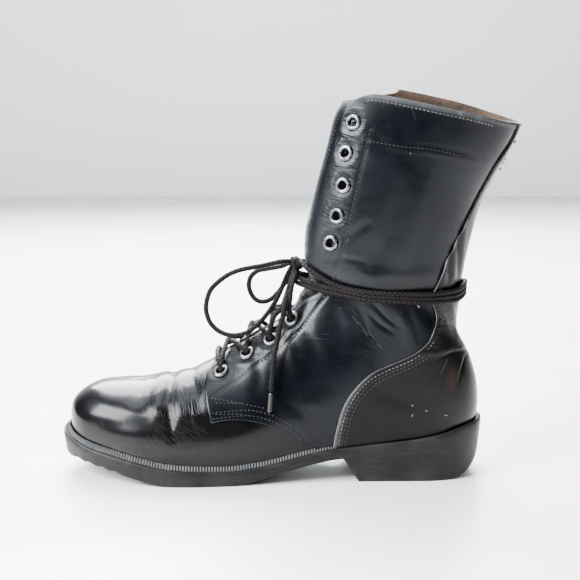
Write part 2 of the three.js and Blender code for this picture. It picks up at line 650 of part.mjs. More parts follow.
// Outline of the sole in plan, a margin outside the upper. The margin narrows round the heel.
const PLAN_STEPS = 52;
function soleOutline(inset) {
  const half = (row, side) => new THREE.Vector3(X(row.x), SIDE[side] * row[side] * footWidth(X(row.x)), 0);
  const outer = PLAN.map((row) => half(row, 'outer'));
  const inner = PLAN.map((row) => half(row, 'inner')).reverse();
  const tip = new THREE.Vector3(X(TOE_TIP.x), TOE_TIP.y * BALL_WIDTH, 0);
  const curve = new THREE.CatmullRomCurve3([tip, ...outer, ...inner], true, 'centripetal');
  const outline = [];
  for (let k = 0; k < PLAN_STEPS; k += 1) {
    const p = curve.getPoint(k / PLAN_STEPS);
    const tangent = curve.getTangent(k / PLAN_STEPS);
    const heel = THREE.MathUtils.smoothstep(p.x, WAIST, HEEL_FLAT_END);
    const margin = lerp(SOLE_MARGIN, HEEL_MARGIN + QUARTER_STEP + GAP + COUNTER_WALL, heel) - inset;
    outline.push([p.x + tangent.y * margin, p.y - tangent.x * margin]);
  }
  return outline;
}
const ringAt = (inset, height) => soleOutline(inset).map(([x, y]) => new THREE.Vector3(x, y, height(x)));

const WEAR_STEPS = 5;
const WEAR_CURVE = 2.6;
// The rounding of the shoulder in shares of it: one point on the round, and how far down the side starts.
const ROUND = { inset: 0.3, drop: 0.7, side: 2 };

// Outsole: one moulded unit. The side rises to a rounded shoulder, the underside follows toe spring, ball,
// shank and slanted heel breast, and the heel is worn round at its back. Bars of tread cross the ball.
function outsoleSolid() {
  const rim = (x) => profile(x, 'rim');
  const body = solidOf(skinGeometry([
    ringAt(SOLE_TAPER, () => -1),
    ringAt(0, (x) => rim(x) - ROUND.side * SHOULDER),
    ringAt(ROUND.inset * SHOULDER, (x) => rim(x) - ROUND.drop * SHOULDER),
    ringAt(SHOULDER, rim),
    ringAt(SHOULDER, () => REACH),
  ]));
  const under = profileLine('under', AHEAD, HEEL_BREAST, 0, PROFILE_STEPS);
  const wear = [];
  for (let k = 1; k <= WEAR_STEPS; k += 1) {
    const t = k / WEAR_STEPS;
    wear.push([lerp(HEEL_FLAT_END, HEEL_BACK, t), HEEL_WEAR * t ** WEAR_CURVE]);
  }
  const top = profileLine('rim', AHEAD, BEHIND, 0, RIM_STEPS).reverse();
  const heel = [[HEEL_BREAST + BREAST_SLANT, 0], [HEEL_FLAT_END, 0], ...wear, [BEHIND, HEEL_WEAR]];
  const side = sideSolid([...under, ...heel, ...top]);
  let sole = body.intersect(side).subtract(envelope(GAP).intersect(aboveBed(0)));
  for (let x = TREAD_START; x < TREAD_END; x += TREAD_PITCH) {
    const groove = new THREE.BoxGeometry(TREAD_GROOVE, 2 * REACH, 2 * TREAD_DEPTH);
    sole = sole.subtract(solidOf(groove.translate(x, 0, profile(x, 'under'))));
  }
  return sole;
}

// Welt: a sloped strip on the shoulder of the sole, from one side of the heel breast round the toe.
function weltSolid() {
  const rim = (x) => profile(x, 'rim');
  const strip = solidOf(skinGeometry([
    ringAt(SHOULDER + GAP, (x) => rim(x) + GAP),
    ringAt(SHOULDER + GAP + WELT_LIP, (x) => rim(x) + WELT_HEIGHT / 3),
    ringAt(SHOULDER + WELT_WIDTH, (x) => rim(x) + WELT_HEIGHT),
    ringAt(SHOULDER + WELT_WIDTH, () => REACH),
  ]));
  const zone = between('rim', GAP, 'rim', WELT_HEIGHT, WELT_END);
  return strip.intersect(zone).subtract(envelope(GAP));
}

// Lace: a round cord. Its bars cross over the tongue from eyelet to eyelet, it is wound round the ankle, and
// its free part is tied in a bow in front.
const LACE_ACROSS = 8;
const OVER_QUARTER = QUARTER_STEP + GAP + LACE / 2;
const OVER_EYELET = OVER_QUARTER + EYELET_FLANGE + 2 * GAP;
const OVER_COUNTER = OVER_QUARTER + GAP + COUNTER_WALL;
function cordSolid(points, steps, across = LACE_ACROSS) {
  const section = [];
  for (let k = 0; k < across; k += 1) {
    const turn = (2 * Math.PI * k) / across;
    section.push(new THREE.Vector2(Math.cos(turn), Math.sin(turn)).multiplyScalar(LACE / 2));
  }
  const extrudePath = new THREE.CatmullRomCurve3(points, false, 'centripetal');
  return solidOf(new THREE.ExtrudeGeometry(new THREE.Shape(section), { steps, extrudePath }));
}
const joined = (solids) => solids.reduce((all, solid) => all.add(solid));

// Two bars cross between each pair of low eyelets and the next, and one lies straight between the lowest.
const LOW_EYELETS = 4;
const BAR_STEPS = 6;
const BAR_ACROSS = 6;
function barSolid(from, to) {
  const points = [];
  for (let k = 0; k <= BAR_STEPS; k += 1) {
    const t = k / BAR_STEPS;
    const sink = BAR_SINK * Math.sin(Math.PI * t);
    points.push(offForm(lerp(from.at, to.at, t), lerp(from.angle, to.angle, t), OVER_EYELET - sink));
  }
  return cordSolid(points, BAR_STEPS, BAR_ACROSS);
}
function laceBars() {
  const low = Object.keys(SIDE).map((side) => eyeletSeats.filter((seat) => seat.side === side));
  const bars = [barSolid(low[0][0], low[1][0])];
  for (let k = 0; k + 1 < LOW_EYELETS; k += 1) {
    bars.push(barSolid(low[0][k], low[1][k + 1]), barSolid(low[1][k], low[0][k + 1]));
  }
  return joined(bars);
}

// Three turns round the ankle, front to back, at places of the form in side view. The upper one starts and
// ends at the knot, and the others close in front, drawn into the throat.
const pointOf = ([x, y, z]) => new THREE.Vector3(x, y, z);
const KNOT_OUTER = [[-80.6, -13.0, 152.8]];
const KNOT_INNER = [[-82.9, 10.0, 151.6], [-83.2, -0.4, 151.5]];
const WRAP_FRONT = { x: -0.262, middle: 1.076, lower: 1.050 };
const WRAP = [
  { x: -0.243, upper: 1.128, middle: 1.060, lower: 1.036 },
  { x: -0.218, upper: 1.094, middle: 1.048, lower: 1.026 },
  { x: -0.194, upper: 1.066, middle: 1.040, lower: 1.018 },
  { x: -0.158, upper: 1.042, middle: 1.026, lower: 1.006 },
  { x: -0.108, upper: 1.028, middle: 1.010, lower: 0.990 },
  { x: -0.040, upper: 1.018, middle: 0.998, lower: 0.978 },
  { x: 0.028, upper: 1.018, middle: 0.997, lower: 0.975 },
  { x: 0.084, upper: 1.024, middle: 0.999, lower: 0.974 },
  { x: 0.125, upper: 1.030, middle: 1.003, lower: 0.976 },
];

const COUNTER_STEP = { from: X(0.006), to: X(0.03) };
const WRAP_STEPS = 26;
const WRAP_EASE = 0.9;
const WRAP_OVERLAP = 0.06;
const FRONT_SINK = 4;
const EDGE_SINK = 2.8;
function wrapPoint(row, name, side, sink = 0, angle = null) {
  const x = X(row.x);
  const place = findOnForm(x, Z(row[name]), SIDE[side]);
  const ramp = THREE.MathUtils.smoothstep(x, COUNTER_STEP.from, COUNTER_STEP.to);
  const off = lerp(OVER_QUARTER, OVER_COUNTER, ramp) + WRAP_EASE - sink;
  return offForm(place.at, angle ?? place.angle, off);
}
function wrapTurn(name, starts, ends) {
  const outer = WRAP.map((row) => wrapPoint(row, name, 'outer'));
  const inner = WRAP.slice(0, -1).map((row) => wrapPoint(row, name, 'inner')).reverse();
  return cordSolid([...starts, ...outer, ...inner, ...ends], WRAP_STEPS, BAR_ACROSS);
}
function closedTurn(name) {
  const edge = (side) => wrapPoint(WRAP_FRONT, name, side, EDGE_SINK);
  const past = (side, angle) => wrapPoint(WRAP_FRONT, name, side, FRONT_SINK, angle);
  const last = past('inner', WRAP_OVERLAP);
  last.z -= LACE / 2;
  return wrapTurn(name, [past('outer', -WRAP_OVERLAP), edge('outer')], [edge('inner'), last]);
}
function laceWrap() {
  const fromKnot = wrapTurn('upper', KNOT_OUTER.map(pointOf), KNOT_INNER.map(pointOf));
  return joined([fromKnot, closedTurn('middle'), closedTurn('lower')]);
}

// The bow, in front of the ankle: a knot, two loops and an end with its tip. Points along the cord.
const KNOT = { x: -83.5, y: -6.5, z: 151.5, radius: 5.5, around: 10, rows: 7 };
const LARGE_LOOP = [
  [-88.8, -9.1, 153.0], [-95.0, -12.0, 153.2], [-108.0, -14.0, 150.5], [-123.0, -17.0, 148.0],
  [-133.0, -18.0, 144.0], [-142.0, -19.0, 137.0], [-146.0, -20.0, 131.0], [-148.0, -20.0, 122.0],
  [-147.0, -21.0, 115.5], [-144.0, -22.0, 109.5], [-137.0, -23.0, 104.0], [-128.0, -23.5, 102.0],
  [-119.0, -23.0, 104.0], [-112.0, -21.0, 109.0], [-106.0, -17.5, 115.0], [-100.0, -13.5, 123.0],
  [-95.5, -11.0, 131.5], [-92.0, -9.0, 140.0], [-88.1, -7.1, 147.5],
];
const SMALL_LOOP = [
  [-88.8, -3.9, 151.2], [-95.0, -1.8, 148.5], [-104.0, 0.5, 146.5], [-112.0, 3.0, 144.5],
  [-117.0, 4.5, 140.0], [-118.5, 5.0, 134.0], [-117.0, 5.0, 128.0], [-113.5, 4.0, 123.5],
  [-108.5, 3.0, 122.0], [-102.5, 2.0, 124.0], [-97.0, 1.0, 129.5], [-92.0, -0.5, 136.5],
  [-88.0, -2.2, 142.5], [-85.6, -3.5, 146.7],
];
const LACE_END = [
  [-85.0, -11.4, 148.1], [-87.0, -15.5, 142.5], [-89.5, -20.5, 134.0], [-92.0, -26.0, 125.0],
  [-94.0, -30.0, 116.0], [-96.0, -33.5, 108.0], [-98.0, -36.5, 98.0], [-100.0, -40.0, 88.0],
  [-101.0, -43.0, 76.0], [-101.8, -45.3, 66.0],
];
const LOOP_STEPS = { large: 26, small: 16, end: 11 };

function knotSolid() {
  const ball = new THREE.SphereGeometry(KNOT.radius, KNOT.around, KNOT.rows).rotateX(Math.PI / 2);
  return solidOf(ball.translate(KNOT.x, KNOT.y, KNOT.z));
}
function agletSolid() {
  const [before, end] = LACE_END.slice(-2).map(pointOf);
  const along = end.clone().sub(before).normalize();
  const tube = new THREE.CylinderGeometry(AGLET / 2, AGLET / 2, AGLET_LENGTH, LACE_ACROSS);
  const turn = new THREE.Quaternion().setFromUnitVectors(new THREE.Vector3(0, 1, 0), along);
  const middle = end.addScaledVector(along, GAP + AGLET_LENGTH / 2);
  return solidOf(tube.applyMatrix4(new THREE.Matrix4().compose(middle, turn, new THREE.Vector3(1, 1, 1))));
}

function material(color, roughness, metalness = 0) {
  return new THREE.MeshStandardMaterial({ color, roughness, metalness });
}
const LEATHER = material('#17181b', 0.34);
const RUBBER = material('#2b2c2e', 0.62);
const group = new THREE.Group();
function piece(name, solid, finish) {
  const mesh = solid.getMesh();
  const geometry = new THREE.BufferGeometry();
  geometry.setAttribute('position', new THREE.BufferAttribute(new Float32Array(mesh.vertProperties), 3));
  geometry.setIndex(new THREE.BufferAttribute(new Uint32Array(mesh.triVerts), 1));
  const made = new THREE.Mesh(geometry, finish.clone());
  made.name = name;
  group.add(made);
}

piece('outsole', outsoleSolid(), RUBBER);
piece('welt', weltSolid(), RUBBER);
piece('upper', upperSolid(), LEATHER);
piece('counter_backstay', counterSolid(), LEATHER);
piece('insole', insoleSolid(), material('#4a3a2c', 0.85));
piece('tongue', tongueSolid(), LEATHER);
for (const seat of eyeletSeats) piece(seat.name, eyeletSolid(seat), material('#5d6064', 0.3, 0.9));

const LACE_COLOR = '#241b18';
piece('lace_bars', laceBars(), material(LACE_COLOR, 0.8));
piece('lace_wrap', laceWrap(), material(LACE_COLOR, 0.8));
piece('lace_knot', knotSolid(), material(LACE_COLOR, 0.8));
piece('lace_loop_large', cordSolid(LARGE_LOOP.map(pointOf), LOOP_STEPS.large), material(LACE_COLOR, 0.8));
piece('lace_loop_small', cordSolid(SMALL_LOOP.map(pointOf), LOOP_STEPS.small), material(LACE_COLOR, 0.8));
piece('lace_end', cordSolid(LACE_END.map(pointOf), LOOP_STEPS.end), material(LACE_COLOR, 0.8));
piece('aglet', agletSolid(), material('#1b1614', 0.35));

export default group;
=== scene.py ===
import math
import random

import bmesh
import bpy
import numpy as np
from mathutils import Matrix, Vector

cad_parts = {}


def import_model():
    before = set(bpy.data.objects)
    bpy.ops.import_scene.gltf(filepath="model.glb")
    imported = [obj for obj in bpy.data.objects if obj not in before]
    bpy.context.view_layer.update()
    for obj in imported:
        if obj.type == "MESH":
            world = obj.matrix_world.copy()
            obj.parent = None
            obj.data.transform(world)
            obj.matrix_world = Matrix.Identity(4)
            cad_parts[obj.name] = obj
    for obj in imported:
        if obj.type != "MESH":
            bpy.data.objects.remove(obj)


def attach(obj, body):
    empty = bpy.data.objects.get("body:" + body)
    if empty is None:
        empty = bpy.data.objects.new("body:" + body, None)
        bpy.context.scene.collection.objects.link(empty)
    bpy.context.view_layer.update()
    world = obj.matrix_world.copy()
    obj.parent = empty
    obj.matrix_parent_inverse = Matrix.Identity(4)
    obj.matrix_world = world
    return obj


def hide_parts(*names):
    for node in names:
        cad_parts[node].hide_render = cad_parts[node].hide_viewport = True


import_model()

random.seed(7)
MM = 0.001
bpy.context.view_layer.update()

# Camera: level with the shaft, some way in front of the outer side and pitched a little down, as the photo
# was taken. No shift and no depth of field.
camera_data = bpy.data.cameras.new("camera")
camera_data.lens = 73.8
camera_data.clip_start = 0.05
camera = bpy.data.objects.new("camera", camera_data)
camera.location = (-0.0886, -0.85, 0.255)
camera.rotation_euler = (math.radians(90 - 8.3), 0, 0)
bpy.context.scene.collection.objects.link(camera)
bpy.context.scene.camera = camera


# The bow: free ends of the lace, a limp round braided cord of 3.6 mm, tied in front of the ankle. Two loops
# and one end lie loosely down over the instep.
def column(table, at):
    """Rows of a table at fractional places, on a smooth curve through them."""
    table = np.asarray(table, float)
    at = np.asarray(at, float)
    last = len(table) - 1
    i = np.clip(np.floor(at).astype(int), 0, last - 1)
    t = (at - i)[:, None]
    b, c = table[i], table[i + 1]
    a = np.where((i > 0)[:, None], table[np.maximum(i - 1, 0)], 2 * b - c)
    d = np.where((i + 2 <= last)[:, None], table[np.minimum(i + 2, last)], 2 * c - b)
    return 0.5 * (2 * b + (c - a) * t + (2 * a - 5 * b + 4 * c - d) * t**2 + (3 * b - a - 3 * c + d) * t**3)


def run_length(path):
    return float(np.linalg.norm(np.diff(path, axis=0), axis=1).sum())


def evenly(path, step):
    """The same path with points a step apart."""
    path = np.asarray(path, float)
    along = np.concatenate([[0], np.cumsum(np.linalg.norm(np.diff(path, axis=0), axis=1))])
    count = max(2, int(round(along[-1] / step)) + 1)
    places = np.linspace(0, along[-1], count)
    return np.stack([np.interp(places, along, path[:, k]) for k in range(3)], axis=1)


def curve_path(points, step=0.0012):
    """A smooth path through points in millimetres, in metres."""
    points = np.asarray(points, float) * MM
    return evenly(column(points, np.linspace(0, len(points) - 1, 14 * len(points))), step)


def finish_mesh(name, bm, materials, smooth=True):
    mesh = bpy.data.meshes.new(name)
    bm.to_mesh(mesh)
    bm.free()
    obj = bpy.data.objects.new(name, mesh)
    bpy.context.scene.collection.objects.link(obj)
    for material in materials:
        mesh.materials.append(material)
    for polygon in mesh.polygons:
        polygon.use_smooth = smooth
    return obj


def sweep(bm, path, radius, around=12, rounded=True):
    """A closed round cord along a path, added to bm, with its length in metres along the map."""
    path = np.asarray(path, float)
    steps = len(path) - 1
    start = len(bm.verts)
    made = bmesh.ops.create_grid(bm, x_segments=around, y_segments=steps, size=1, calc_uvs=True)
    tangent = np.gradient(path, axis=0)
    tangent /= np.linalg.norm(tangent, axis=1)[:, None]
    side = np.cross(tangent[0], (0.13, 0.31, 0.94))
    frames = []
    for t in tangent:
        side = side - t * side.dot(t)
        side /= np.linalg.norm(side)
        frames.append((side, np.cross(t, side)))
    length = run_length(path)
    ring_places = {}
    for vert in made["verts"]:
        k = int(round((vert.co.y + 1) / 2 * steps))
        j = int(round((vert.co.x + 1) / 2 * around))
        turn = 2 * math.pi * (j % around) / around
        from_end = min(k, steps - k) / steps * length
        r = radius
        if rounded and from_end < radius:
            r = radius * math.sqrt(max(0.0, 1 - (1 - from_end / radius) ** 2))
            r = max(r, radius * 0.25)
        one, two = frames[k]
        ring_places[vert] = path[k] + r * (math.cos(turn) * one + math.sin(turn) * two)
    for vert, place in ring_places.items():
        vert.co = place
    uv = bm.loops.layers.uv.verify()
    faces = {f for v in made["verts"] for f in v.link_faces}
    for face in faces:
        for loop in face.loops:
            loop[uv].uv.y *= length
    bmesh.ops.remove_doubles(bm, verts=made["verts"], dist=1e-6)
    left = [e for e in bm.edges if e.is_boundary]
    bmesh.ops.holes_fill(bm, edges=left, sides=0)
    return bm


def new_bmesh():
    bm = bmesh.new()
    bm.loops.layers.uv.new("UVMap")
    return bm


def cord_piece(name, paths, radius, materials, around=12):
    bm = new_bmesh()
    for path in paths:
        sweep(bm, path, radius, around)
    bmesh.ops.recalc_face_normals(bm, faces=bm.faces)
    return finish_mesh(name, bm, materials)


def add(tree, kind, values=None, **props):
    """One shader node with its settings, values and links."""
    made = tree.nodes.new("ShaderNode" + kind)
    for name, value in props.items():
        setattr(made, name, value)
    for name, value in (values or {}).items():
        if isinstance(value, bpy.types.NodeSocket):
            tree.links.new(value, made.inputs[name])
        else:
            made.inputs[name].default_value = value
    return made


def mix(tree, factor, a, b):
    return add(tree, "Mix", {0: factor, 6: a, 7: b}, data_type="RGBA").outputs[2]


def math_node(tree, operation, a, b=0.0, clamp=False):
    return add(tree, "Math", {0: a, 1: b}, operation=operation, use_clamp=clamp).outputs[0]


def remap(tree, value, low, high, to_low=0.0, to_high=1.0):
    made = add(tree, "MapRange", {"Value": value, 1: low, 2: high, 3: to_low, 4: to_high})
    return made.outputs[0]


def group(name, inputs, outputs):
    """An empty shader group with its sockets."""
    tree = bpy.data.node_groups.new(name, "ShaderNodeTree")
    for label, kind in inputs:
        tree.interface.new_socket(name=label, in_out="INPUT", socket_type="NodeSocket" + kind)
    for label, kind in outputs:
        tree.interface.new_socket(name=label, in_out="OUTPUT", socket_type="NodeSocket" + kind)
    return tree, tree.nodes.new("NodeGroupInput").outputs, tree.nodes.new("NodeGroupOutput").inputs


def use(tree, made, values):
    node = add(tree, "Group", node_tree=made)
    for name, value in values.items():
        if isinstance(value, bpy.types.NodeSocket):
            tree.links.new(value, node.inputs[name])
        else:
            node.inputs[name].default_value = value
    return node.outputs


def new_material(name):
    material = bpy.data.materials.new(name)
    material.use_nodes = True
    tree = material.node_tree
    tree.nodes.clear()
    shader = add(tree, "BsdfPrincipled")
    out = add(tree, "OutputMaterial", {"Surface": shader.outputs[0]})
    return material, tree, shader


def bump(tree, height, strength, distance, normal=None):
    values = {"Height": height, "Strength": strength, "Distance": distance}
    if normal is not None:
        values["Normal"] = normal
    return add(tree, "Bump", values).outputs[0]


# A braid of two sets of strands that cross on the slant, from the map of a cord.
braid_tree, g_in, g_out = group("braid", [("Map", "Vector")], [("Height", "Float"), ("Strand", "Float")])
split = add(braid_tree, "SeparateXYZ", {0: g_in["Map"]})
waves = []
for turn in (1, -1):
    across = math_node(braid_tree, "MULTIPLY", split.outputs[0], 4 * turn)
    along = math_node(braid_tree, "DIVIDE", split.outputs[1], 0.0034)
    phase = math_node(braid_tree, "MULTIPLY", math_node(braid_tree, "ADD", across, along), 2 * math.pi)
    waves.append(math_node(braid_tree, "SINE", phase))
larger = math_node(braid_tree, "MAXIMUM", waves[0], waves[1])
both = math_node(braid_tree, "MULTIPLY", waves[0], waves[1])
braid_tree.links.new(larger, g_out["Height"])
braid_tree.links.new(both, g_out["Strand"])

# Dust and hairline scratches from a place in the object.
dust_tree, g_in, g_out = group("dust", [("Place", "Vector")], [("Dust", "Float"), ("Scratch", "Float")])
fine = add(dust_tree, "TexNoise", {"Vector": g_in["Place"], "Scale": 160.0, "Detail": 6.0, "Roughness": 0.7})
wide = add(dust_tree, "TexNoise", {"Vector": g_in["Place"], "Scale": 22.0, "Detail": 3.0})
speck = remap(dust_tree, fine.outputs[0], 0.52, 0.78)
cover = remap(dust_tree, wide.outputs[0], 0.40, 0.70)
dust_tree.links.new(math_node(dust_tree, "MULTIPLY", speck, cover), g_out["Dust"])
lean = add(dust_tree, "Mapping", {"Vector": g_in["Place"], "Rotation": (0.3, 0.5, 0.2), "Scale": (30, 30, 700)})
lines = add(dust_tree, "TexNoise", {"Vector": lean.outputs[0], "Scale": 1.0, "Detail": 2.0})
thin = remap(dust_tree, lines.outputs[0], 0.66, 0.70)
dust_tree.links.new(math_node(dust_tree, "MULTIPLY", thin, cover), g_out["Scratch"])


def lace_material():
    material, tree, shader = new_material("braided lace")
    place = add(tree, "TexCoord").outputs
    braid = use(tree, braid_tree, {"Map": place["UV"]})
    fuzz = add(tree, "TexNoise", {"Vector": place["Object"], "Scale": 1400.0, "Detail": 3.0}).outputs[0]
    dust = use(tree, dust_tree, {"Place": place["Object"]})
    # Painted shade: the braid is darker in the grooves between its strands than on their crowns.
    dark = mix(tree, remap(tree, braid["Height"], -0.3, 1.0), (0.0012, 0.0008, 0.0007, 1), (0.0065, 0.0042, 0.0036, 1))
    worn = mix(tree, math_node(tree, "MULTIPLY", dust["Dust"], 0.12), dark, (0.06, 0.045, 0.038, 1))
    height = math_node(tree, "ADD", braid["Height"], math_node(tree, "MULTIPLY", fuzz, 0.5))
    tree.links.new(worn, shader.inputs["Base Color"])
    tree.links.new(bump(tree, height, 0.8, 0.0004), shader.inputs["Normal"])
    shader.inputs["Roughness"].default_value = 0.62
    shader.inputs["Specular IOR Level"].default_value = 0.12
    return material


LACE = 3.6 * MM
lace_finish = lace_material()
LARGE_LOOP = [
    (-88.8, -9.1, 153.0), (-95.0, -12.0, 153.2), (-108.0, -14.0, 150.5), (-123.0, -17.0, 148.0),
    (-133.0, -18.0, 144.0), (-142.0, -19.0, 137.0), (-146.0, -20.0, 131.0), (-148.0, -20.0, 122.0),
    (-147.0, -21.0, 115.5), (-144.0, -22.0, 109.5), (-137.0, -23.0, 104.0), (-128.0, -23.5, 102.0),
    (-119.0, -23.0, 104.0), (-112.0, -21.0, 109.0), (-106.0, -17.5, 115.0), (-100.0, -13.5, 123.0),
    (-95.5, -11.0, 131.5), (-92.0, -9.0, 140.0), (-88.1, -7.1, 147.5),
]
SMALL_LOOP = [
    (-88.8, -3.9, 151.2), (-95.0, -1.8, 148.5), (-104.0, 0.5, 146.5), (-112.0, 3.0, 144.5),
    (-117.0, 4.5, 140.0), (-118.5, 5.0, 134.0), (-117.0, 5.0, 128.0), (-113.5, 4.0, 123.5),
    (-108.5, 3.0, 122.0), (-102.5, 2.0, 124.0), (-97.0, 1.0, 129.5), (-92.0, -0.5, 136.5),
    (-88.0, -2.2, 142.5), (-85.6, -3.5, 146.7),
]
LACE_END = [
    (-85.0, -11.4, 148.1), (-87.0, -15.5, 142.5), (-89.5, -20.5, 134.0), (-92.0, -26.0, 125.0),
    (-94.0, -30.0, 116.0), (-96.0, -33.5, 108.0), (-98.0, -36.5, 98.0), (-100.0, -40.0, 88.0),
    (-101.0, -43.0, 76.0), (-101.8, -45.3, 66.0),
]
KNOT = np.array((-83.5, -6.5, 151.5))
large_path = curve_path([KNOT + (-1.5, -1.5, 1.2), *LARGE_LOOP, KNOT + (-1.0, -0.6, -0.8)])
small_path = curve_path([KNOT + (-1.5, 1.2, 0.2), *SMALL_LOOP, KNOT + (-0.2, 1.0, -1.4)])
end_path = curve_path([KNOT + (0.2, -2.0, -0.6), *LACE_END])
large_loop = cord_piece("lace_loop_large_braid", [large_path], LACE / 2, [lace_finish])
small_loop = cord_piece("lace_loop_small_braid", [small_path], LACE / 2, [lace_finish])
lace_end = cord_piece("lace_end_braid", [end_path], LACE / 2, [lace_finish])

# The tip of the lace: a thin tube of dark varnished fabric pressed round its end.
AGLET_LENGTH = 14 * MM
AGLET = 2.9 * MM
aglet_finish, tree, shader = new_material("aglet")
place = add(tree, "TexCoord").outputs["Object"]
mottle = add(tree, "TexNoise", {"Vector": place, "Scale": 700.0, "Detail": 4.0}).outputs[0]
dust = use(tree, dust_tree, {"Place": place})
tree.links.new(
    mix(tree, dust["Scratch"], mix(tree, mottle, (0.010, 0.008, 0.007, 1), (0.03, 0.024, 0.02, 1)), (0.2, 0.18, 0.16, 1)),
    shader.inputs["Base Color"],
)
tree.links.new(remap(tree, mottle, 0.3, 0.7, 0.25, 0.45), shader.inputs["Roughness"])
tree.links.new(bump(tree, mottle, 0.25, 0.0002), shader.inputs["Normal"])
along = end_path[-1] - end_path[-2]
along /= np.linalg.norm(along)
tip_start = end_path[-1] + along * 0.3 * MM
tip_path = np.array([tip_start + along * AGLET_LENGTH * k / 24 for k in range(25)])
aglet = cord_piece("lace_tip", [tip_path], AGLET / 2, [aglet_finish], around=20)

# The knot: the lace turned twice round itself, with one turn drawn over.

def turn_path(centre, axis, radius, squash=1.0, turns=1.0, start=0.0, drift=0.0):
    """A ring or a screw of cord round an axis."""
    axis = np.array(axis, float) / np.linalg.norm(axis)
    one = np.cross(axis, (0, 0, 1.0))
    one /= np.linalg.norm(one)
    two = np.cross(axis, one)
    out = []
    for k in range(int(40 * turns) + 1):
        a = start + 2 * math.pi * k / 40
        out.append(centre + radius * (math.cos(a) * one + squash * math.sin(a) * two) + axis * drift * k / 40)
    return np.array(out)


knot_middle = KNOT * MM
knot_paths = [
    turn_path(knot_middle + np.array((-2.6, -1.2, -0.4)) * MM, (1.0, 0.25, 0.15), 3.3 * MM, 1.1, 1.0),
    turn_path(knot_middle + np.array((0.9, -1.0, 0.3)) * MM, (1.0, 0.1, 0.45), 3.4 * MM, 1.05, 1.0, 1.2),
    turn_path(knot_middle + np.array((-1.0, -1.4, -1.8)) * MM, (0.3, 0.5, 1.0), 3.0 * MM, 0.95, 1.0, 0.5),
]
knot = cord_piece("lace_knot_braid", knot_paths, LACE / 2, [lace_finish])

# Every part of the bow is a cord that starts in the knot, and the two loops end there too. Each is attached to
# the root in place of its part in the model.
for piece, node, path, far_end, carried in (
    (large_loop, "lace_loop_large", large_path, "object", []),
    (small_loop, "lace_loop_small", small_path, "object", []),
    (lace_end, "lace_end", end_path, "fitting", [aglet]),
):
    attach(piece, "root")
    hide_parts(node)
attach(knot, "root")
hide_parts("lace_knot")
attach(aglet, "root")
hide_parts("aglet")


# Form of the last, as in the CAD: sections in side view from a front point on the top ridge to a back point,
# with half widths, where they are widest and how full they are before and after that.
SOLE_LENGTH = 302 * MM
BALL_WIDTH = 103 * MM
HEEL_WIDTH = 71 * MM
SHAFT_WIDTH = 74 * MM
ANKLE = 131 * MM
COLLAR = 270 * MM
SOLE_HEIGHT = 10.3 * MM
HEEL_HEIGHT = 30.5 * MM
TOE_SPRING = 14 * MM
LASTING_DEPTH = 5 * MM
QUARTER_STEP = 1.2 * MM
COLLAR_LEAN = 0.13


def X(share):
    return np.asarray(share, float) * SOLE_LENGTH


def Z(share):
    share = np.asarray(share, float)
    return np.minimum(share, 1) * ANKLE + np.maximum(share - 1, 0) * (COLLAR - ANKLE)


def ease(value, low, high):
    t = np.clip((value - low) / (high - low), 0, 1)
    return t * t * (3 - 2 * t)


# x, spring, lift, under, rim, bed
SOLE_PROFILE = np.array([
    (-0.843, 1.00, 0.000, 0.00, 1.65, 1.17),
    (-0.795, 0.95, 0.000, 0.00, 1.23, 0.95),
    (-0.745, 0.80, 0.000, 0.00, 1.10, 0.88),
    (-0.709, 0.64, 0.000, 0.00, 1.12, 0.90),
    (-0.662, 0.38, 0.000, 0.00, 1.18, 0.96),
    (-0.619, 0.17, 0.000, 0.00, 1.19, 0.97),
    (-0.583, 0.04, 0.000, 0.00, 1.17, 0.95),
    (-0.530, 0.00, 0.000, 0.00, 1.08, 0.87),
    (-0.440, 0.00, 0.000, 0.00, 1.00, 0.80),
    (-0.394, 0.00, 0.035, 0.01, 1.00, 0.80),
    (-0.334, 0.00, 0.130, 0.17, 1.00, 0.79),
    (-0.265, 0.00, 0.295, 0.24, 1.00, 0.78),
    (-0.192, 0.00, 0.449, 0.22, 1.00, 0.75),
    (-0.103, 0.00, 0.548, 0.20, 1.00, 0.62),
    (0.000, 0.00, 0.660, 0.20, 1.00, 0.42),
    (0.060, 0.00, 0.700, 0.20, 1.23, 0.38),
    (0.109, 0.00, 0.720, 0.20, 1.55, 0.35),
    (0.160, 0.00, 0.720, 0.20, 1.76, 0.35),
])
UNDER, RIM, BED = 3, 4, 5


def profile(x, name):
    x = np.atleast_1d(np.asarray(x, float))
    at = np.interp(x, X(SOLE_PROFILE[:, 0]), np.arange(len(SOLE_PROFILE)))
    row = column(SOLE_PROFILE, at)
    return np.maximum(row[:, 1] * TOE_SPRING + row[:, 2] * HEEL_HEIGHT + row[:, name] * SOLE_HEIGHT, 0)


def foot_width(x):
    return BALL_WIDTH + (HEEL_WIDTH - BALL_WIDTH) * ease(x, X(-0.42), X(-0.18))


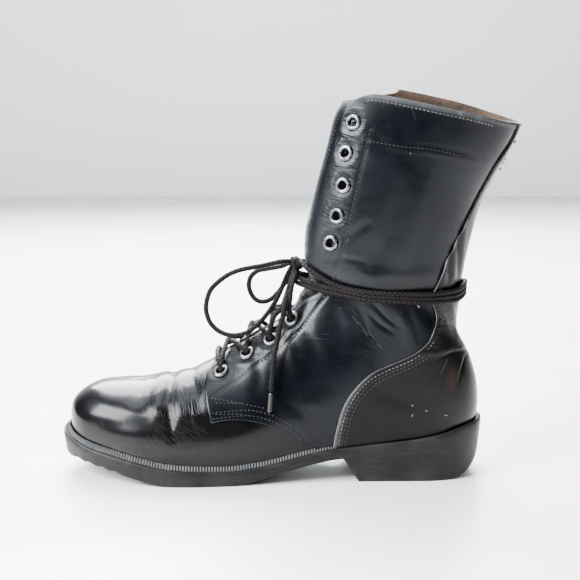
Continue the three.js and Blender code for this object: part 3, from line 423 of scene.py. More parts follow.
# front x and z, back x and z (0 is under the bed), centre, width across (0 is the foot's), outer, inner,
# widest, round, square
SECTION_ROWS = [
    (-0.828, 0.300, -0.817, 0.000, 0.050, 0, 0.000, 0.000, 0.60, 2.20, 4.00),
    (-0.820, 0.378, -0.806, 0.000, 0.048, 0, 0.180, 0.180, 0.60, 2.20, 4.20),
    (-0.794, 0.440, -0.778, 0.000, 0.042, 0, 0.300, 0.298, 0.61, 2.20, 4.50),
    (-0.750, 0.486, -0.733, 0.000, 0.032, 0, 0.386, 0.382, 0.62, 2.20, 4.50),
    (-0.685, 0.502, -0.674, 0.000, 0.018, 0, 0.452, 0.446, 0.63, 2.20, 4.50),
    (-0.618, 0.522, -0.608, 0.000, 0.008, 0, 0.490, 0.480, 0.64, 2.10, 4.50),
    (-0.552, 0.546, -0.538, 0.000, 0.000, 0, 0.500, 0.474, 0.66, 2.00, 4.50),
    (-0.494, 0.600, -0.465, 0.000, 0.000, 0, 0.490, 0.444, 0.68, 1.95, 4.50),
    (-0.440, 0.676, -0.387, 0.000, 0.000, 0, 0.472, 0.411, 0.70, 1.90, 4.40),
    (-0.381, 0.772, -0.304, 0.000, 0.000, 0, 0.509, 0.436, 0.70, 1.90, 4.20),
    (-0.327, 0.853, -0.212, 0.000, 0.000, 0, 0.573, 0.505, 0.68, 1.90, 4.20),
    (-0.293, 0.933, -0.113, 0.000, 0.000, 0, 0.552, 0.506, 0.64, 1.95, 4.40),
    (-0.277, 1.022, 0.000, 0.000, 0.000, 0, 0.530, 0.506, 0.60, 2.00, 4.40),
    (-0.273, 1.094, 0.092, 0.000, 0.000, 0, 0.516, 0.502, 0.57, 2.00, 3.60),
    (-0.271, 1.158, 0.142, 0.300, 0.000, HEEL_WIDTH, 0.506, 0.500, 0.55, 2.00, 2.80),
    (-0.270, 1.223, 0.147, 0.473, 0.000, HEEL_WIDTH, 0.500, 0.498, 0.53, 2.00, 2.40),
    (-0.267, 1.288, 0.128, 0.640, 0.000, SHAFT_WIDTH, 0.482, 0.480, 0.52, 2.00, 2.10),
    (-0.262, 1.345, 0.095, 0.800, 0.000, SHAFT_WIDTH, 0.482, 0.479, 0.51, 2.00, 2.00),
    (-0.255, 1.410, 0.103, 0.950, -0.004, SHAFT_WIDTH, 0.487, 0.484, 0.50, 2.00, 1.95),
    (-0.247, 1.482, 0.108, 1.100, -0.008, SHAFT_WIDTH, 0.496, 0.490, 0.50, 2.00, 1.90),
    (-0.237, 1.568, 0.126, 1.290, -0.014, SHAFT_WIDTH, 0.500, 0.496, 0.49, 2.00, 1.90),
    (-0.222, 1.690, 0.154, 1.500, -0.022, SHAFT_WIDTH, 0.496, 0.490, 0.48, 2.00, 1.90),
    (-0.209, 1.820, 0.205, 1.700, -0.032, SHAFT_WIDTH, 0.480, 0.474, 0.47, 2.00, 1.90),
    (-0.199, 1.957, 0.242, 1.880, -0.044, SHAFT_WIDTH, 0.462, 0.456, 0.47, 2.00, 1.90),
    (-0.189, 2.108, 0.278, 2.060, -0.056, SHAFT_WIDTH, 0.446, 0.440, 0.47, 2.00, 1.90),
]


def section_of(row):
    front_x, front_z, back_x, back_z, centre, across, outer, inner, *fullness = row
    width = across or float(foot_width(X(back_x)))
    low = float(profile(X(back_x), BED)[0]) - LASTING_DEPTH
    bottom = float(Z(back_z)) if back_z else low
    sides = [centre * width, outer * width, inner * width]
    return [float(X(front_x)), float(Z(front_z)), float(X(back_x)), bottom, *sides, *fullness]


SECTIONS = np.array([section_of(row) for row in SECTION_ROWS])
LAST_ROW = len(SECTIONS) - 1


def form_point(at, angle):
    """Points of the form: angle 0 is the front ridge, pi the back, positive on the outer side."""
    fx, fz, bx, bz, centre, outer, inner, widest, round_, square = column(SECTIONS, at).T
    c, s = np.cos(angle), np.sin(angle)
    power = np.where(c >= 0, round_, square)
    along = np.abs(c) ** (2 / power)
    t = np.where(c >= 0, widest * (1 - along), widest + (1 - widest) * along)
    half = np.abs(s) ** (2 / power)
    y = centre + np.where(s >= 0, -np.maximum(outer, 0), np.maximum(inner, 0)) * half
    return np.stack([fx + (bx - fx) * t, y, fz + (bz - fz) * t], axis=1)


def form_normal(at, angle):
    step = 0.02
    low, high = np.clip(at - step, 0, LAST_ROW), np.clip(at + step, 0, LAST_ROW)
    along = form_point(high, angle) - form_point(low, angle)
    around = form_point(at, angle + step) - form_point(at, angle - step)
    normal = np.cross(around, along)
    return normal / np.maximum(np.linalg.norm(normal, axis=1), 1e-12)[:, None]


def off_form(at, angle, height):
    return form_point(at, angle) + form_normal(at, angle) * np.asarray(height)[..., None]


def find_on_form(x, z, side):
    """Row and angle where a side view shows the points x, z; side is -1 for the outer side."""
    x, z = np.atleast_1d(np.asarray(x, float)), np.atleast_1d(np.asarray(z, float))
    low, high = np.zeros(len(x)), np.full(len(x), float(LAST_ROW))
    for _ in range(40):
        middle = (low + high) / 2
        fx, fz, bx, bz = column(SECTIONS, middle)[:, :4].T
        behind = (bx - fx) * (z - fz) - (bz - fz) * (x - fx) > 0
        low, high = np.where(behind, middle, low), np.where(behind, high, middle)
    at = (low + high) / 2
    fx, fz, bx, bz, *_, widest, round_, square = column(SECTIONS, at).T
    t = np.clip(np.hypot(x - fx, z - fz) / np.hypot(bx - fx, bz - fz), 0, 1)
    near = t <= widest
    power = np.where(near, round_, square)
    share = np.where(near, 1 - t / widest, (t - widest) / (1 - widest))
    c = np.maximum(share, 0) ** (power / 2) * np.where(near, 1, -1)
    return at, -side * np.arccos(np.clip(c, -1, 1))


def halve(test, low, high, count):
    """The place between low and high where test turns from true to false, for each of count lines."""
    low, high = np.full(count, float(low)), np.full(count, float(high))
    for _ in range(30):
        middle = (low + high) / 2
        inside = test(middle)
        low, high = np.where(inside, middle, low), np.where(inside, high, middle)
    return (low + high) / 2


def fold(places, rows):
    """Height of soft ridges and troughs in side view. Each has a line of places, a width and a height."""
    total = np.zeros(len(places))
    for line, width, height in rows:
        line = np.array(line, float) * MM
        best = np.full(len(places), 1e9)
        share = np.zeros(len(places))
        runs = np.linalg.norm(np.diff(line, axis=0), axis=1)
        done = 0.0
        for a, b, run in zip(line[:-1], line[1:], runs):
            t = np.clip((places - a) @ (b - a) / run**2, 0, 1)
            gap = np.linalg.norm(places - (a + t[:, None] * (b - a)), axis=1)
            nearer = gap < best
            best = np.where(nearer, gap, best)
            share = np.where(nearer, (done + t * run) / runs.sum(), share)
            done += run
        fade = 0.25 + 0.75 * np.sin(np.pi * np.clip(share, 0.02, 0.98)) ** 0.6
        total += height * MM * fade * np.exp(-((best / (width * MM)) ** 2))
    return total


def panel(name, rows, columns, place, materials, holes=(), thickness=0.0, inner=0, rim=0, merge=False):
    """A sheet of leather: a grid warped by place(u, v), which also gives wear, shade and fine wrinkles."""
    bm = new_bmesh()
    bmesh.ops.create_grid(bm, x_segments=columns, y_segments=rows, size=1, calc_uvs=True)
    flat = np.array([vert.co[:2] for vert in bm.verts])
    points, normals, marks = place((flat[:, 1] + 1) / 2, (flat[:, 0] + 1) / 2)
    layers = {key: bm.verts.layers.float.new(key) for key in ("wear", "shade", "fine")}
    for k, vert in enumerate(bm.verts):
        vert.co = points[k]
        for key, layer in layers.items():
            vert[layer] = float(np.clip(marks[key][k], 0, 1))
    bm.normal_update()
    facing = sum(vert.normal.dot(Vector(normals[k])) for k, vert in enumerate(bm.verts))
    if facing < 0:
        bmesh.ops.reverse_faces(bm, faces=bm.faces)
    if len(holes):
        centres, radius = holes
        near = np.min(np.linalg.norm(points[:, None, :] - centres[None], axis=2), axis=1) < radius
        bm.verts.ensure_lookup_table()
        bmesh.ops.delete(bm, geom=[bm.verts[k] for k in np.nonzero(near)[0]], context="VERTS")
    if merge:
        bmesh.ops.remove_doubles(bm, verts=bm.verts, dist=1e-6)
    obj = finish_mesh(name, bm, materials)
    if thickness:
        wall = obj.modifiers.new("wall", "SOLIDIFY")
        wall.thickness = thickness
        wall.offset = -1
        wall.material_offset = inner
        wall.material_offset_rim = rim
    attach(obj, "root")
    return obj


# Leather finishes. The black leather is polished and uneven, with a fine grain, creases darkened as painted shade,
# dusty wrinkles and light scuffs. On the counter the pleat crests are lightened partly as wear and partly as
# painted highlight, and a round spot is a painted warm reflection. Its cut edges are raw and light, its lining
# is brown suede.
grain_tree, g_in, g_out = group("leather grain", [("Place", "Vector")], [("Height", "Float"), ("Polish", "Float")])
pores = add(grain_tree, "TexVoronoi", {"Vector": g_in["Place"], "Scale": 900.0}, feature="SMOOTH_F1")
soft = add(grain_tree, "TexNoise", {"Vector": g_in["Place"], "Scale": 260.0, "Detail": 5.0, "Roughness": 0.6})
patch = add(grain_tree, "TexNoise", {"Vector": g_in["Place"], "Scale": 34.0, "Detail": 4.0, "Distortion": 0.6})
height = math_node(grain_tree, "ADD", math_node(grain_tree, "MULTIPLY", pores.outputs[0], 0.5), soft.outputs[0])
grain_tree.links.new(height, g_out["Height"])
grain_tree.links.new(patch.outputs[0], g_out["Polish"])

wrinkle_tree, g_in, g_out = group("wrinkles", [("Map", "Vector"), ("Mask", "Float")], [("Height", "Float")])
drawn = add(wrinkle_tree, "Mapping", {"Vector": g_in["Map"], "Scale": (9.0, 110.0, 1.0)})
waves = add(wrinkle_tree, "TexNoise", {"Vector": drawn.outputs[0], "Scale": 1.0, "Detail": 3.0, "Distortion": 0.5})
lines = math_node(wrinkle_tree, "ABSOLUTE", math_node(wrinkle_tree, "SUBTRACT", waves.outputs[0], 0.5))
sharp = remap(wrinkle_tree, lines, 0.0, 0.14)
wrinkle_tree.links.new(math_node(wrinkle_tree, "MULTIPLY", sharp, g_in["Mask"]), g_out["Height"])


# A short scratch or a round spot: how near a place is to a line in side view, on the outer side. The round spot
# on the counter is a painted warm reflection.
mark_tree, g_in, g_out = group(
    "mark", [("Place", "Vector"), ("Start", "Vector"), ("Run", "Vector"), ("Width", "Float")], [("Mask", "Float")])
level = add(mark_tree, "VectorMath", {0: g_in["Place"], 1: (1, 0, 1)}, operation="MULTIPLY").outputs[0]
away = add(mark_tree, "VectorMath", {0: level, 1: g_in["Start"]}, operation="SUBTRACT").outputs[0]
dots = [add(mark_tree, "VectorMath", {0: a, 1: g_in["Run"]}, operation="DOT_PRODUCT").outputs["Value"]
        for a in (away, g_in["Run"])]
share = math_node(mark_tree, "DIVIDE", dots[0], math_node(mark_tree, "MAXIMUM", dots[1], 1e-9), clamp=True)
nearest = add(mark_tree, "VectorMath", {0: g_in["Run"], "Scale": share}, operation="SCALE").outputs[0]
gap = add(mark_tree, "VectorMath", {0: away, 1: nearest}, operation="SUBTRACT").outputs[0]
gap = add(mark_tree, "VectorMath", {0: gap}, operation="LENGTH").outputs["Value"]
soft_edge = add(mark_tree, "MapRange", {"Value": math_node(mark_tree, "DIVIDE", gap, g_in["Width"]), 1: 0.0, 2: 1.0,
                                        3: 1.0, 4: 0.0}, interpolation_type="SMOOTHSTEP").outputs[0]
outer_side = math_node(mark_tree, "LESS_THAN", add(mark_tree, "SeparateXYZ", {0: g_in["Place"]}).outputs[1], 0.0)
mark_tree.links.new(math_node(mark_tree, "MULTIPLY", soft_edge, outer_side), g_out["Mask"])


def leather(name, color, worn, rough_low, rough_high, coat, marks=()):
    """Black leather. Each mark has x and z of its start and end and a width in mm, a colour and a strength."""
    material, tree, shader = new_material(name)
    place = add(tree, "TexCoord").outputs
    wear = add(tree, "Attribute", attribute_name="wear").outputs["Fac"]
    shade = add(tree, "Attribute", attribute_name="shade").outputs["Fac"]
    fine = add(tree, "Attribute", attribute_name="fine").outputs["Fac"]
    grain = use(tree, grain_tree, {"Place": place["Object"]})
    dust = use(tree, dust_tree, {"Place": place["Object"]})
    wrinkle = use(tree, wrinkle_tree, {"Map": place["UV"], "Mask": fine})["Height"]
    uneven = mix(tree, remap(tree, grain["Polish"], 0.35, 0.65), color, [c * 1.7 for c in color[:3]] + [1])
    # Painted shade: the shade attribute darkens creases and fold troughs towards near black.
    dark = mix(tree, math_node(tree, "MULTIPLY", shade, 0.7), uneven, (0.0008, 0.0008, 0.0008, 1))
    # The wear attribute lightens raw edges and scuffs, and on the counter's pleat crests a painted highlight.
    scuff_and_highlight = math_node(tree, "MULTIPLY", wear, remap(tree, dust["Dust"], 0.0, 0.5, 0.35, 1.0), clamp=True)
    light = mix(tree, scuff_and_highlight, dark, worn)
    hair = mix(tree, math_node(tree, "MULTIPLY", dust["Scratch"], 0.06), light, (0.10, 0.10, 0.105, 1))
    done = mix(tree, math_node(tree, "MULTIPLY", dust["Dust"], 0.012), hair, (0.20, 0.19, 0.18, 1))
    for start_x, start_z, end_x, end_z, width, tint, strength in marks:
        mask = use(tree, mark_tree, {
            "Place": place["Object"], "Start": (start_x * MM, 0, start_z * MM),
            "Run": ((end_x - start_x) * MM, 0, (end_z - start_z) * MM), "Width": width * MM,
        })["Mask"]
        done = mix(tree, math_node(tree, "MULTIPLY", mask, strength), done, tint)
    tree.links.new(done, shader.inputs["Base Color"])
    rough = remap(tree, grain["Polish"], 0.35, 0.65, rough_low, rough_high)
    rough = math_node(tree, "ADD", rough, math_node(tree, "MULTIPLY", scuff_and_highlight, 0.35), clamp=True)
    tree.links.new(rough, shader.inputs["Roughness"])
    first = bump(tree, grain["Height"], 0.14, 0.0003)
    tree.links.new(bump(tree, wrinkle, 0.40, 0.0006, first), shader.inputs["Normal"])
    shader.inputs["Coat Weight"].default_value = coat
    shader.inputs["Coat Roughness"].default_value = 0.12
    shader.inputs["Specular IOR Level"].default_value = 0.15
    return material


def plain_noise(name, low, high, scale, rough, relief=0.4, depth=0.0004, sheen=0.0):
    """A dull finish whose colour and relief come from one noise."""
    material, tree, shader = new_material(name)
    place = add(tree, "TexCoord").outputs["Object"]
    noise = add(tree, "TexNoise", {"Vector": place, "Scale": scale, "Detail": 6.0, "Roughness": 0.65}).outputs[0]
    wide = add(tree, "TexNoise", {"Vector": place, "Scale": scale / 9, "Detail": 3.0}).outputs[0]
    both = math_node(tree, "MULTIPLY", math_node(tree, "ADD", noise, wide), 0.5)
    tree.links.new(mix(tree, remap(tree, both, 0.38, 0.62), low, high), shader.inputs["Base Color"])
    tree.links.new(bump(tree, noise, relief, depth), shader.inputs["Normal"])
    shader.inputs["Roughness"].default_value = rough
    shader.inputs["Sheen Weight"].default_value = sheen
    shader.inputs["Specular IOR Level"].default_value = 0.25
    return material


# Grey of wear, and of the painted highlight on the counter's pleat crests.
WEAR_AND_HIGHLIGHT_GREY = (0.15, 0.15, 0.155, 1)
# The first colour is for light scratches, and the second is a painted warm reflection laid on the counter as a soft
# spot.
TICK, WARM_REFLECTION_TINT = (0.50, 0.48, 0.45, 1), (0.10, 0.035, 0.018, 1)
QUARTER_MARKS = [(0.5, 124.6, 1.5, 123.4, 0.6, TICK, 0.7), (-6, 259, -4, 254, 2.0, TICK, 0.008),
                 (-7, 230, -7, 230.4, 0.7, TICK, 0.15), (-30, 214, -22, 196, 0.5, TICK, 0.004),
                 (-40, 92, -34, 90, 0.4, TICK, 0.012), (-58, 70, -54, 66, 0.4, TICK, 0.012)]
COUNTER_MARKS = [(-3.3, 55.3, -2.7, 54.7, 0.5, TICK, 0.4), (-3, 48.6, -3, 47.4, 0.45, TICK, 0.4),
                 (6.4, 51.2, 7.6, 50.8, 0.5, TICK, 0.3), (20, 47.2, 22, 46.8, 0.45, TICK, 0.3),
                 # The wide round spot on the line below is a painted warm reflection.
                 (17, 77, 22, 87, 0.5, TICK, 0.06), (25, 67, 25, 77, 6.5, WARM_REFLECTION_TINT, 0.10),
                 (8, 62, 12, 66, 0.4, TICK, 0.012), (30, 40, 33, 44, 0.5, TICK, 0.012)]
VAMP_MARKS = [(-150, 40, -146, 38, 0.4, TICK, 0.012), (-205, 52, -199, 50, 0.4, TICK, 0.010),
              (-222, 44, -219, 40, 0.5, TICK, 0.012)]
vamp_leather = leather(
    "black leather, vamp", (0.0016, 0.0016, 0.0018, 1), WEAR_AND_HIGHLIGHT_GREY, 0.17, 0.30, 0.08, VAMP_MARKS)
quarter_leather = leather(
    "black leather, quarter", (0.0013, 0.0016, 0.0026, 1), WEAR_AND_HIGHLIGHT_GREY, 0.22, 0.36, 0.08, QUARTER_MARKS)
counter_leather = leather(
    "black leather, counter", (0.0013, 0.0012, 0.0011, 1), WEAR_AND_HIGHLIGHT_GREY, 0.26, 0.42, 0.0, COUNTER_MARKS)
raw_edge = plain_noise("raw cut edge", (0.07, 0.067, 0.064, 1), (0.24, 0.23, 0.22, 1), 500.0, 0.85)
collar_cut_edge = plain_noise("raw collar edge", (0.06, 0.052, 0.045, 1), (0.19, 0.165, 0.145, 1), 420.0, 0.9)
suede = plain_noise("brown suede lining", (0.020, 0.012, 0.008, 1), (0.075, 0.048, 0.033, 1), 380.0, 0.95, 0.8, 0.0006)
facing_lining = plain_noise("black facing lining", (0.004, 0.004, 0.004, 1), (0.014, 0.0135, 0.013, 1), 500.0, 0.7)
flesh_side = plain_noise("inner side of the leather", (0.07, 0.045, 0.03, 1), (0.13, 0.09, 0.065, 1), 420.0, 0.9)

# Lines of the upper in side view, in shares of the sole's length and of the heights.
QUARTER_EDGE = np.array([(-0.4750, 0.340), (-0.4860, 0.430), (-0.4910, 0.500), (-0.4870, 0.555),
                         (-0.4720, 0.610), (-0.4550, 0.750)])
QUARTER_FOOT = np.array([(-0.4750, 0.340), (-0.4370, 0.352), (-0.3970, 0.350), (-0.3480, 0.326),
                         (-0.3050, 0.290), (-0.2600, 0.230), (-0.2050, 0.140), (-0.1500, 0.000)])
COUNTER_FRONT = np.array([
    (-0.1970, 0.050), (-0.1930, 0.200), (-0.1850, 0.305), (-0.1720, 0.405), (-0.1490, 0.496),
    (-0.1090, 0.588), (-0.0630, 0.641), (-0.0170, 0.687), (0.0170, 0.742), (0.0330, 0.800),
    (0.0430, 0.878), (0.0360, 0.940), (0.0340, 1.000), (0.0460, 1.065), (0.0660, 1.180),
    (0.0990, 1.324), (0.1360, 1.482), (0.1790, 1.655), (0.2280, 1.835), (0.2430, 2.100),
])
COLLAR_EDGE = np.array([(-0.3000, 1.940), (-0.1420, 2.000), (-0.1060, 2.030), (-0.0360, 2.010),
                        (0.0580, 1.968), (0.1260, 1.935), (0.1990, 1.890), (0.2520, 1.866), (0.3500, 1.866)])
THROAT = np.array([
    (0.628, 0.040), (0.665, 0.100), (0.740, 0.150), (0.820, 0.180), (0.900, 0.200), (0.960, 0.235),
    (1.005, 0.300), (1.045, 0.300), (1.095, 0.225), (1.160, 0.175), (1.280, 0.165), (1.440, 0.170),
    (1.620, 0.180), (1.800, 0.195), (1.890, 0.215), (1.945, 0.260), (1.985, 0.290), (2.010, 0.380),
])


def smooth_table(table, per_row=8):
    return column(table, np.linspace(0, len(table) - 1, per_row * (len(table) - 1) + 1))


quarter_edge = smooth_table(QUARTER_EDGE)
quarter_foot = smooth_table(QUARTER_FOOT)
counter_front = smooth_table(COUNTER_FRONT)
collar_edge = smooth_table(COLLAR_EDGE)
throat = smooth_table(THROAT)


def throat_angle(at, side, extra=0.0):
    """Angle of the facing's edge, or of a line that far behind it."""
    def inside(angle):
        p = form_point(at, -side * angle)
        half = np.interp(p[:, 2], Z(throat[:, 0]), throat[:, 1]) * SHAFT_WIDTH + extra
        return p[:, 1] * side < half
    return halve(inside, 0.0, math.pi / 2, len(at))


def lowest_angle(at, side, floor):
    def above(angle):
        p = form_point(at, -side * angle)
        return p[:, 2] > floor(p[:, 0])
    return halve(above, 0.6, math.pi, len(at))


def bed_line(x):
    return profile(x, BED) + 0.5 * MM


def collar_height(p):
    """Height of the collar's cut over places on the boot."""
    return np.interp(p[:, 0], X(collar_edge[:, 0]), Z(collar_edge[:, 1])) + COLLAR_LEAN * p[:, 1]


def quarter_floor(x):
    foot = np.interp(x, X(quarter_foot[:, 0]), Z(quarter_foot[:, 1]), right=-1.0)
    return np.maximum(foot, bed_line(x))


ROWS = np.linspace(0, LAST_ROW, 721)
STRIPS = np.linspace(0, 1, 161)
bed_angles = lowest_angle(ROWS, -1, bed_line)
throat_angles = {side: throat_angle(ROWS, side) for side in (-1, 1)}
floor_angles = {side: lowest_angle(ROWS, side, quarter_floor) for side in (-1, 1)}


def quarter_angle(at, v, side):
    front = np.interp(at, ROWS, throat_angles[side])
    return front + (np.interp(at, ROWS, floor_angles[side]) - front) * v


def quarter_limits(side):
    """First and last row of the quarter along each strip from the facing to the back."""
    def before(at):
        p = form_point(at, -side * quarter_angle(at, STRIPS, side))
        return p[:, 0] < np.interp(p[:, 2], Z(quarter_edge[:, 1]), X(quarter_edge[:, 0]))

    def below(at):
        p = form_point(at, -side * quarter_angle(at, STRIPS, side))
        return p[:, 2] < collar_height(p)

    return halve(before, 6.4, 9.6, len(STRIPS)), halve(below, 19.0, LAST_ROW, len(STRIPS))


limits = {side: quarter_limits(side) for side in (-1, 1)}


def quarter_place(u, v, side, start=None):
    """Rows and angles of the quarter: u runs from the vamp to the collar, v from the facing to the back."""
    first = np.interp(v, STRIPS, limits[side][0]) if start is None else np.full(len(u), float(start))
    at = first + (np.interp(v, STRIPS, limits[side][1]) - first) * u
    return at, -side * quarter_angle(at, v, side)


# Eyelets in side view, low to high: four over the instep and five up the shaft.
EYELETS = [(-0.455, 0.580), (-0.394, 0.676), (-0.338, 0.752), (-0.288, 0.859), (-0.199, 1.266),
           (-0.185, 1.403), (-0.172, 1.554), (-0.166, 1.712), (-0.149, 1.863)]
eyelet_x, eyelet_z = X([row[0] for row in EYELETS]), Z([row[1] for row in EYELETS])
seats = {side: find_on_form(eyelet_x, eyelet_z, side) for side in (-1, 1)}
seat_points = {side: off_form(*seats[side], np.full(9, QUARTER_STEP)) for side in seats}
seat_normals = {side: form_normal(*seats[side]) for side in seats}


# Vamp: one piece of smooth black leather over the toe and the sides, lasted under at the sole. It bends at
# the ball in two soft troughs and has dips over the toes.
VAMP_FOLDS = [
    ([(-174, 76), (-174, 66), (-175, 58), (-173, 51), (-172, 44), (-171, 34)], 3.0, -1.5),
    ([(-180, 74), (-181, 64), (-182, 54), (-180, 44)], 4.5, 0.7),
    ([(-167, 80), (-167, 68), (-166, 58), (-164, 50), (-163, 42)], 3.4, 0.6),
    ([(-160, 82), (-158, 70), (-154, 64), (-153, 58), (-152, 50)], 3.6, -0.8),
    ([(-200, 76), (-199, 71), (-196, 62), (-192, 55)], 6.5, -1.3),
    ([(-190, 78), (-189, 70), (-187, 60)], 4.0, -0.5),
    ([(-226, 40), (-207, 42), (-186, 45), (-176, 44)], 6.0, -0.7),
    ([(-178, 60), (-177, 52), (-178, 42)], 0.9, -0.25),
    ([(-170, 66), (-169, 56), (-168, 47)], 0.9, -0.30),
    ([(-183, 50), (-176, 47), (-168, 44)], 0.9, -0.22),
    ([(-160, 60), (-158, 50), (-158, 40)], 1.0, -0.30),
]


def vamp_place(u, v):
    spread = np.abs(2 * v - 1)
    side = np.where(v < 0.5, -1, 1)
    end = np.interp(spread, [0, 0.3, 0.5, 0.62, 0.8, 1], [7.95, 8.2, 8.4, 10.0, 11.2, 11.4])
    at = end * u**1.3
    low = np.interp(at, ROWS, bed_angles)
    angle = low * spread * np.where(v < 0.5, 1, -1)
    normal = form_normal(at, angle)
    base = form_point(at, angle)
    flat = base[:, [0, 2]]
    rise = fold(flat, VAMP_FOLDS)
    calm = np.where(side < 0, 1.0, 0.75)
    fine_zone = np.exp(-(((flat[:, 0] + 0.173) / 0.013) ** 2)) + 0.6 * np.exp(-(((flat[:, 0] + 0.155) / 0.008) ** 2))
    marks = {
        "wear": 0.05 * np.clip(rise / (1.2 * MM), 0, 1) * fine_zone
        + 0.03 * np.exp(-(((flat[:, 1] - 0.024) / 0.004) ** 2)),
        # Painted shade: the troughs of the folds are darkened.
        "shade": np.clip(-rise / (1.0 * MM), 0, 1) * 0.8,
        "fine": np.clip(fine_zone, 0, 1) * 0.8,
    }
    return base + normal * (rise * calm)[:, None], normal, marks


vamp = panel("vamp", 210, 300, vamp_place, [vamp_leather, flesh_side], merge=True)
vamp_wall = vamp.modifiers.new("wall", "SOLIDIFY")
vamp_wall.thickness = 1.5 * MM
vamp_wall.offset = -1
vamp_wall.material_offset = 1
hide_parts("upper")

# Quarters: one on each side, cut in one piece with the shaft and sewn over the vamp. Each has its facing with
# the eyelets in front, is drawn in at the ankle by the lace, and has raw light edges.
QUARTER_FOLDS = [
    ([(-30, 126), (-23, 118), (-16, 112)], 1.6, -0.7),
    ([(-34, 120), (-26, 112), (-18, 107)], 1.8, -0.6),
    ([(-40, 124), (-36, 112), (-36, 100)], 3.0, -0.7),
    ([(-52, 122), (-48, 112), (-50, 98)], 3.5, 0.6),
    ([(-8, 124), (-2, 112), (0, 102)], 2.6, -0.8),
    ([(-14, 122), (-9, 112), (-8, 100)], 2.8, 0.6),
    ([(-60, 150), (-40, 146), (-10, 144), (10, 146)], 5.0, 0.6),
    ([(-64, 156), (-52, 158), (-38, 156)], 2.0, -0.5),
    ([(-66, 166), (-50, 172), (-36, 182)], 3.0, -0.5),
    ([(-30, 150), (-22, 175), (-18, 205)], 6.0, -0.8),
    ([(-14, 150), (-4, 178), (2, 210)], 6.0, 0.6),
    ([(-80, 112), (-72, 96), (-68, 80)], 5.0, -0.7),
    ([(-92, 100), (-86, 84), (-84, 66)], 5.0, 0.6),
    ([(-112, 88), (-110, 74), (-112, 60)], 4.0, -0.5),
    ([(-96, 60), (-84, 52), (-70, 48)], 5.0, -0.4),
    ([(-54, 244), (-46, 243), (-35, 241)], 1.0, 0.45),
    ([(-51, 246), (-36, 241), (-14, 237), (6, 235), (27, 231), (50, 227)], 0.9, -0.30),
    ([(-51, 242), (-36, 237), (-14, 233), (6, 231), (27, 227), (48, 223)], 1.4, 0.30),
]
EYESTAY = [(-143, 60), (-116, 79), (-93, 95), (-82, 105), (-73, 117), (-62, 132), (-58, 141), (-54, 156),
           (-50, 171), (-44, 199), (-40, 219), (-36, 236), (-33, 248)]
QUARTER_FOLDS.append((EYESTAY, 1.1, -0.35))
ANKLE_DRAW = 1.4 * MM


def quarter_surface(u, v, side):
    at, angle = quarter_place(u, v, side)
    normal = form_normal(at, angle)
    base = form_point(at, angle)
    flat = base[:, [0, 2]]
    rise = fold(flat, QUARTER_FOLDS) * (1.0 if side < 0 else 0.8)
    band = np.exp(-(((flat[:, 1] - 0.134 - 0.12 * np.maximum(-flat[:, 0] - 0.045, 0)) / 0.010) ** 2))
    rise -= ANKLE_DRAW * 0.5 * band
    pucker = np.zeros(len(u))
    for centre in seat_points[side]:
        gap = np.linalg.norm(base - centre, axis=1)
        rise -= 0.55 * MM * np.exp(-((gap / (7.0 * MM)) ** 2))
        rise += 0.25 * MM * np.exp(-(((gap - 9.0 * MM) / (2.2 * MM)) ** 2))
        pucker += np.exp(-((gap / (13.0 * MM)) ** 2))
    upper_zone = np.where(flat[:, 1] > 0.14, 1.0, 0.35)
    ankle_zone = np.exp(-(((flat[:, 1] - 0.118) / 0.016) ** 2)) * np.clip((flat[:, 0] + 0.08) / 0.03, 0, 1)
    edge = np.exp(-((v * 55) ** 2)) + np.exp(-(((1 - u) * 130) ** 2))
    marks = {
        "wear": edge + 0.015 * np.clip(rise / (1.0 * MM), 0, 1),
        # Painted shade: the troughs of the folds are darkened.
        "shade": np.clip(-rise / (1.3 * MM), 0, 1) * 0.6,
        "fine": np.clip(0.55 * pucker * upper_zone + 0.30 * ankle_zone, 0, 1),
    }
    return base + normal * (QUARTER_STEP + rise)[:, None], normal, marks


for side, label in ((-1, "outer"), (1, "inner")):
    panel(
        "quarter_" + label, 210, 112, lambda u, v, side=side: quarter_surface(u, v, side),
        [quarter_leather, flesh_side, raw_edge], holes=(seat_points[side], 4.0 * MM),
        thickness=1.25 * MM, inner=1, rim=2,
    )
    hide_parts("upper")

# Lining: brown suede inside the shaft, with a black facing behind the eyelets. Its raw edge shows along the
# collar beside the quarter's.
for side, label in ((-1, "outer"), (1, "inner")):
    def lining_surface(u, v, side=side):
        at, angle = quarter_place(u, v, side, start=10.8)
        normal = form_normal(at, angle)
        none = np.zeros(len(u))
        return off_form(at, angle, np.full(len(u), -0.1 * MM)), normal, {"wear": none, "shade": none, "fine": none}
    lining = panel(
        "lining_" + label, 110, 64, lining_surface, [suede, collar_cut_edge, facing_lining],
        holes=(off_form(*seats[side], np.full(9, -0.1 * MM)), 3.9 * MM), thickness=1.6 * MM, rim=1,
    )
    for polygon in lining.data.polygons:
        x, y, z = polygon.center
        if x < -0.030 + 0.15 * (z - 0.2):
            polygon.material_index = 2
        if z > collar_height(np.array([polygon.center]))[0] - 1.3 * MM:
            polygon.material_index = 1


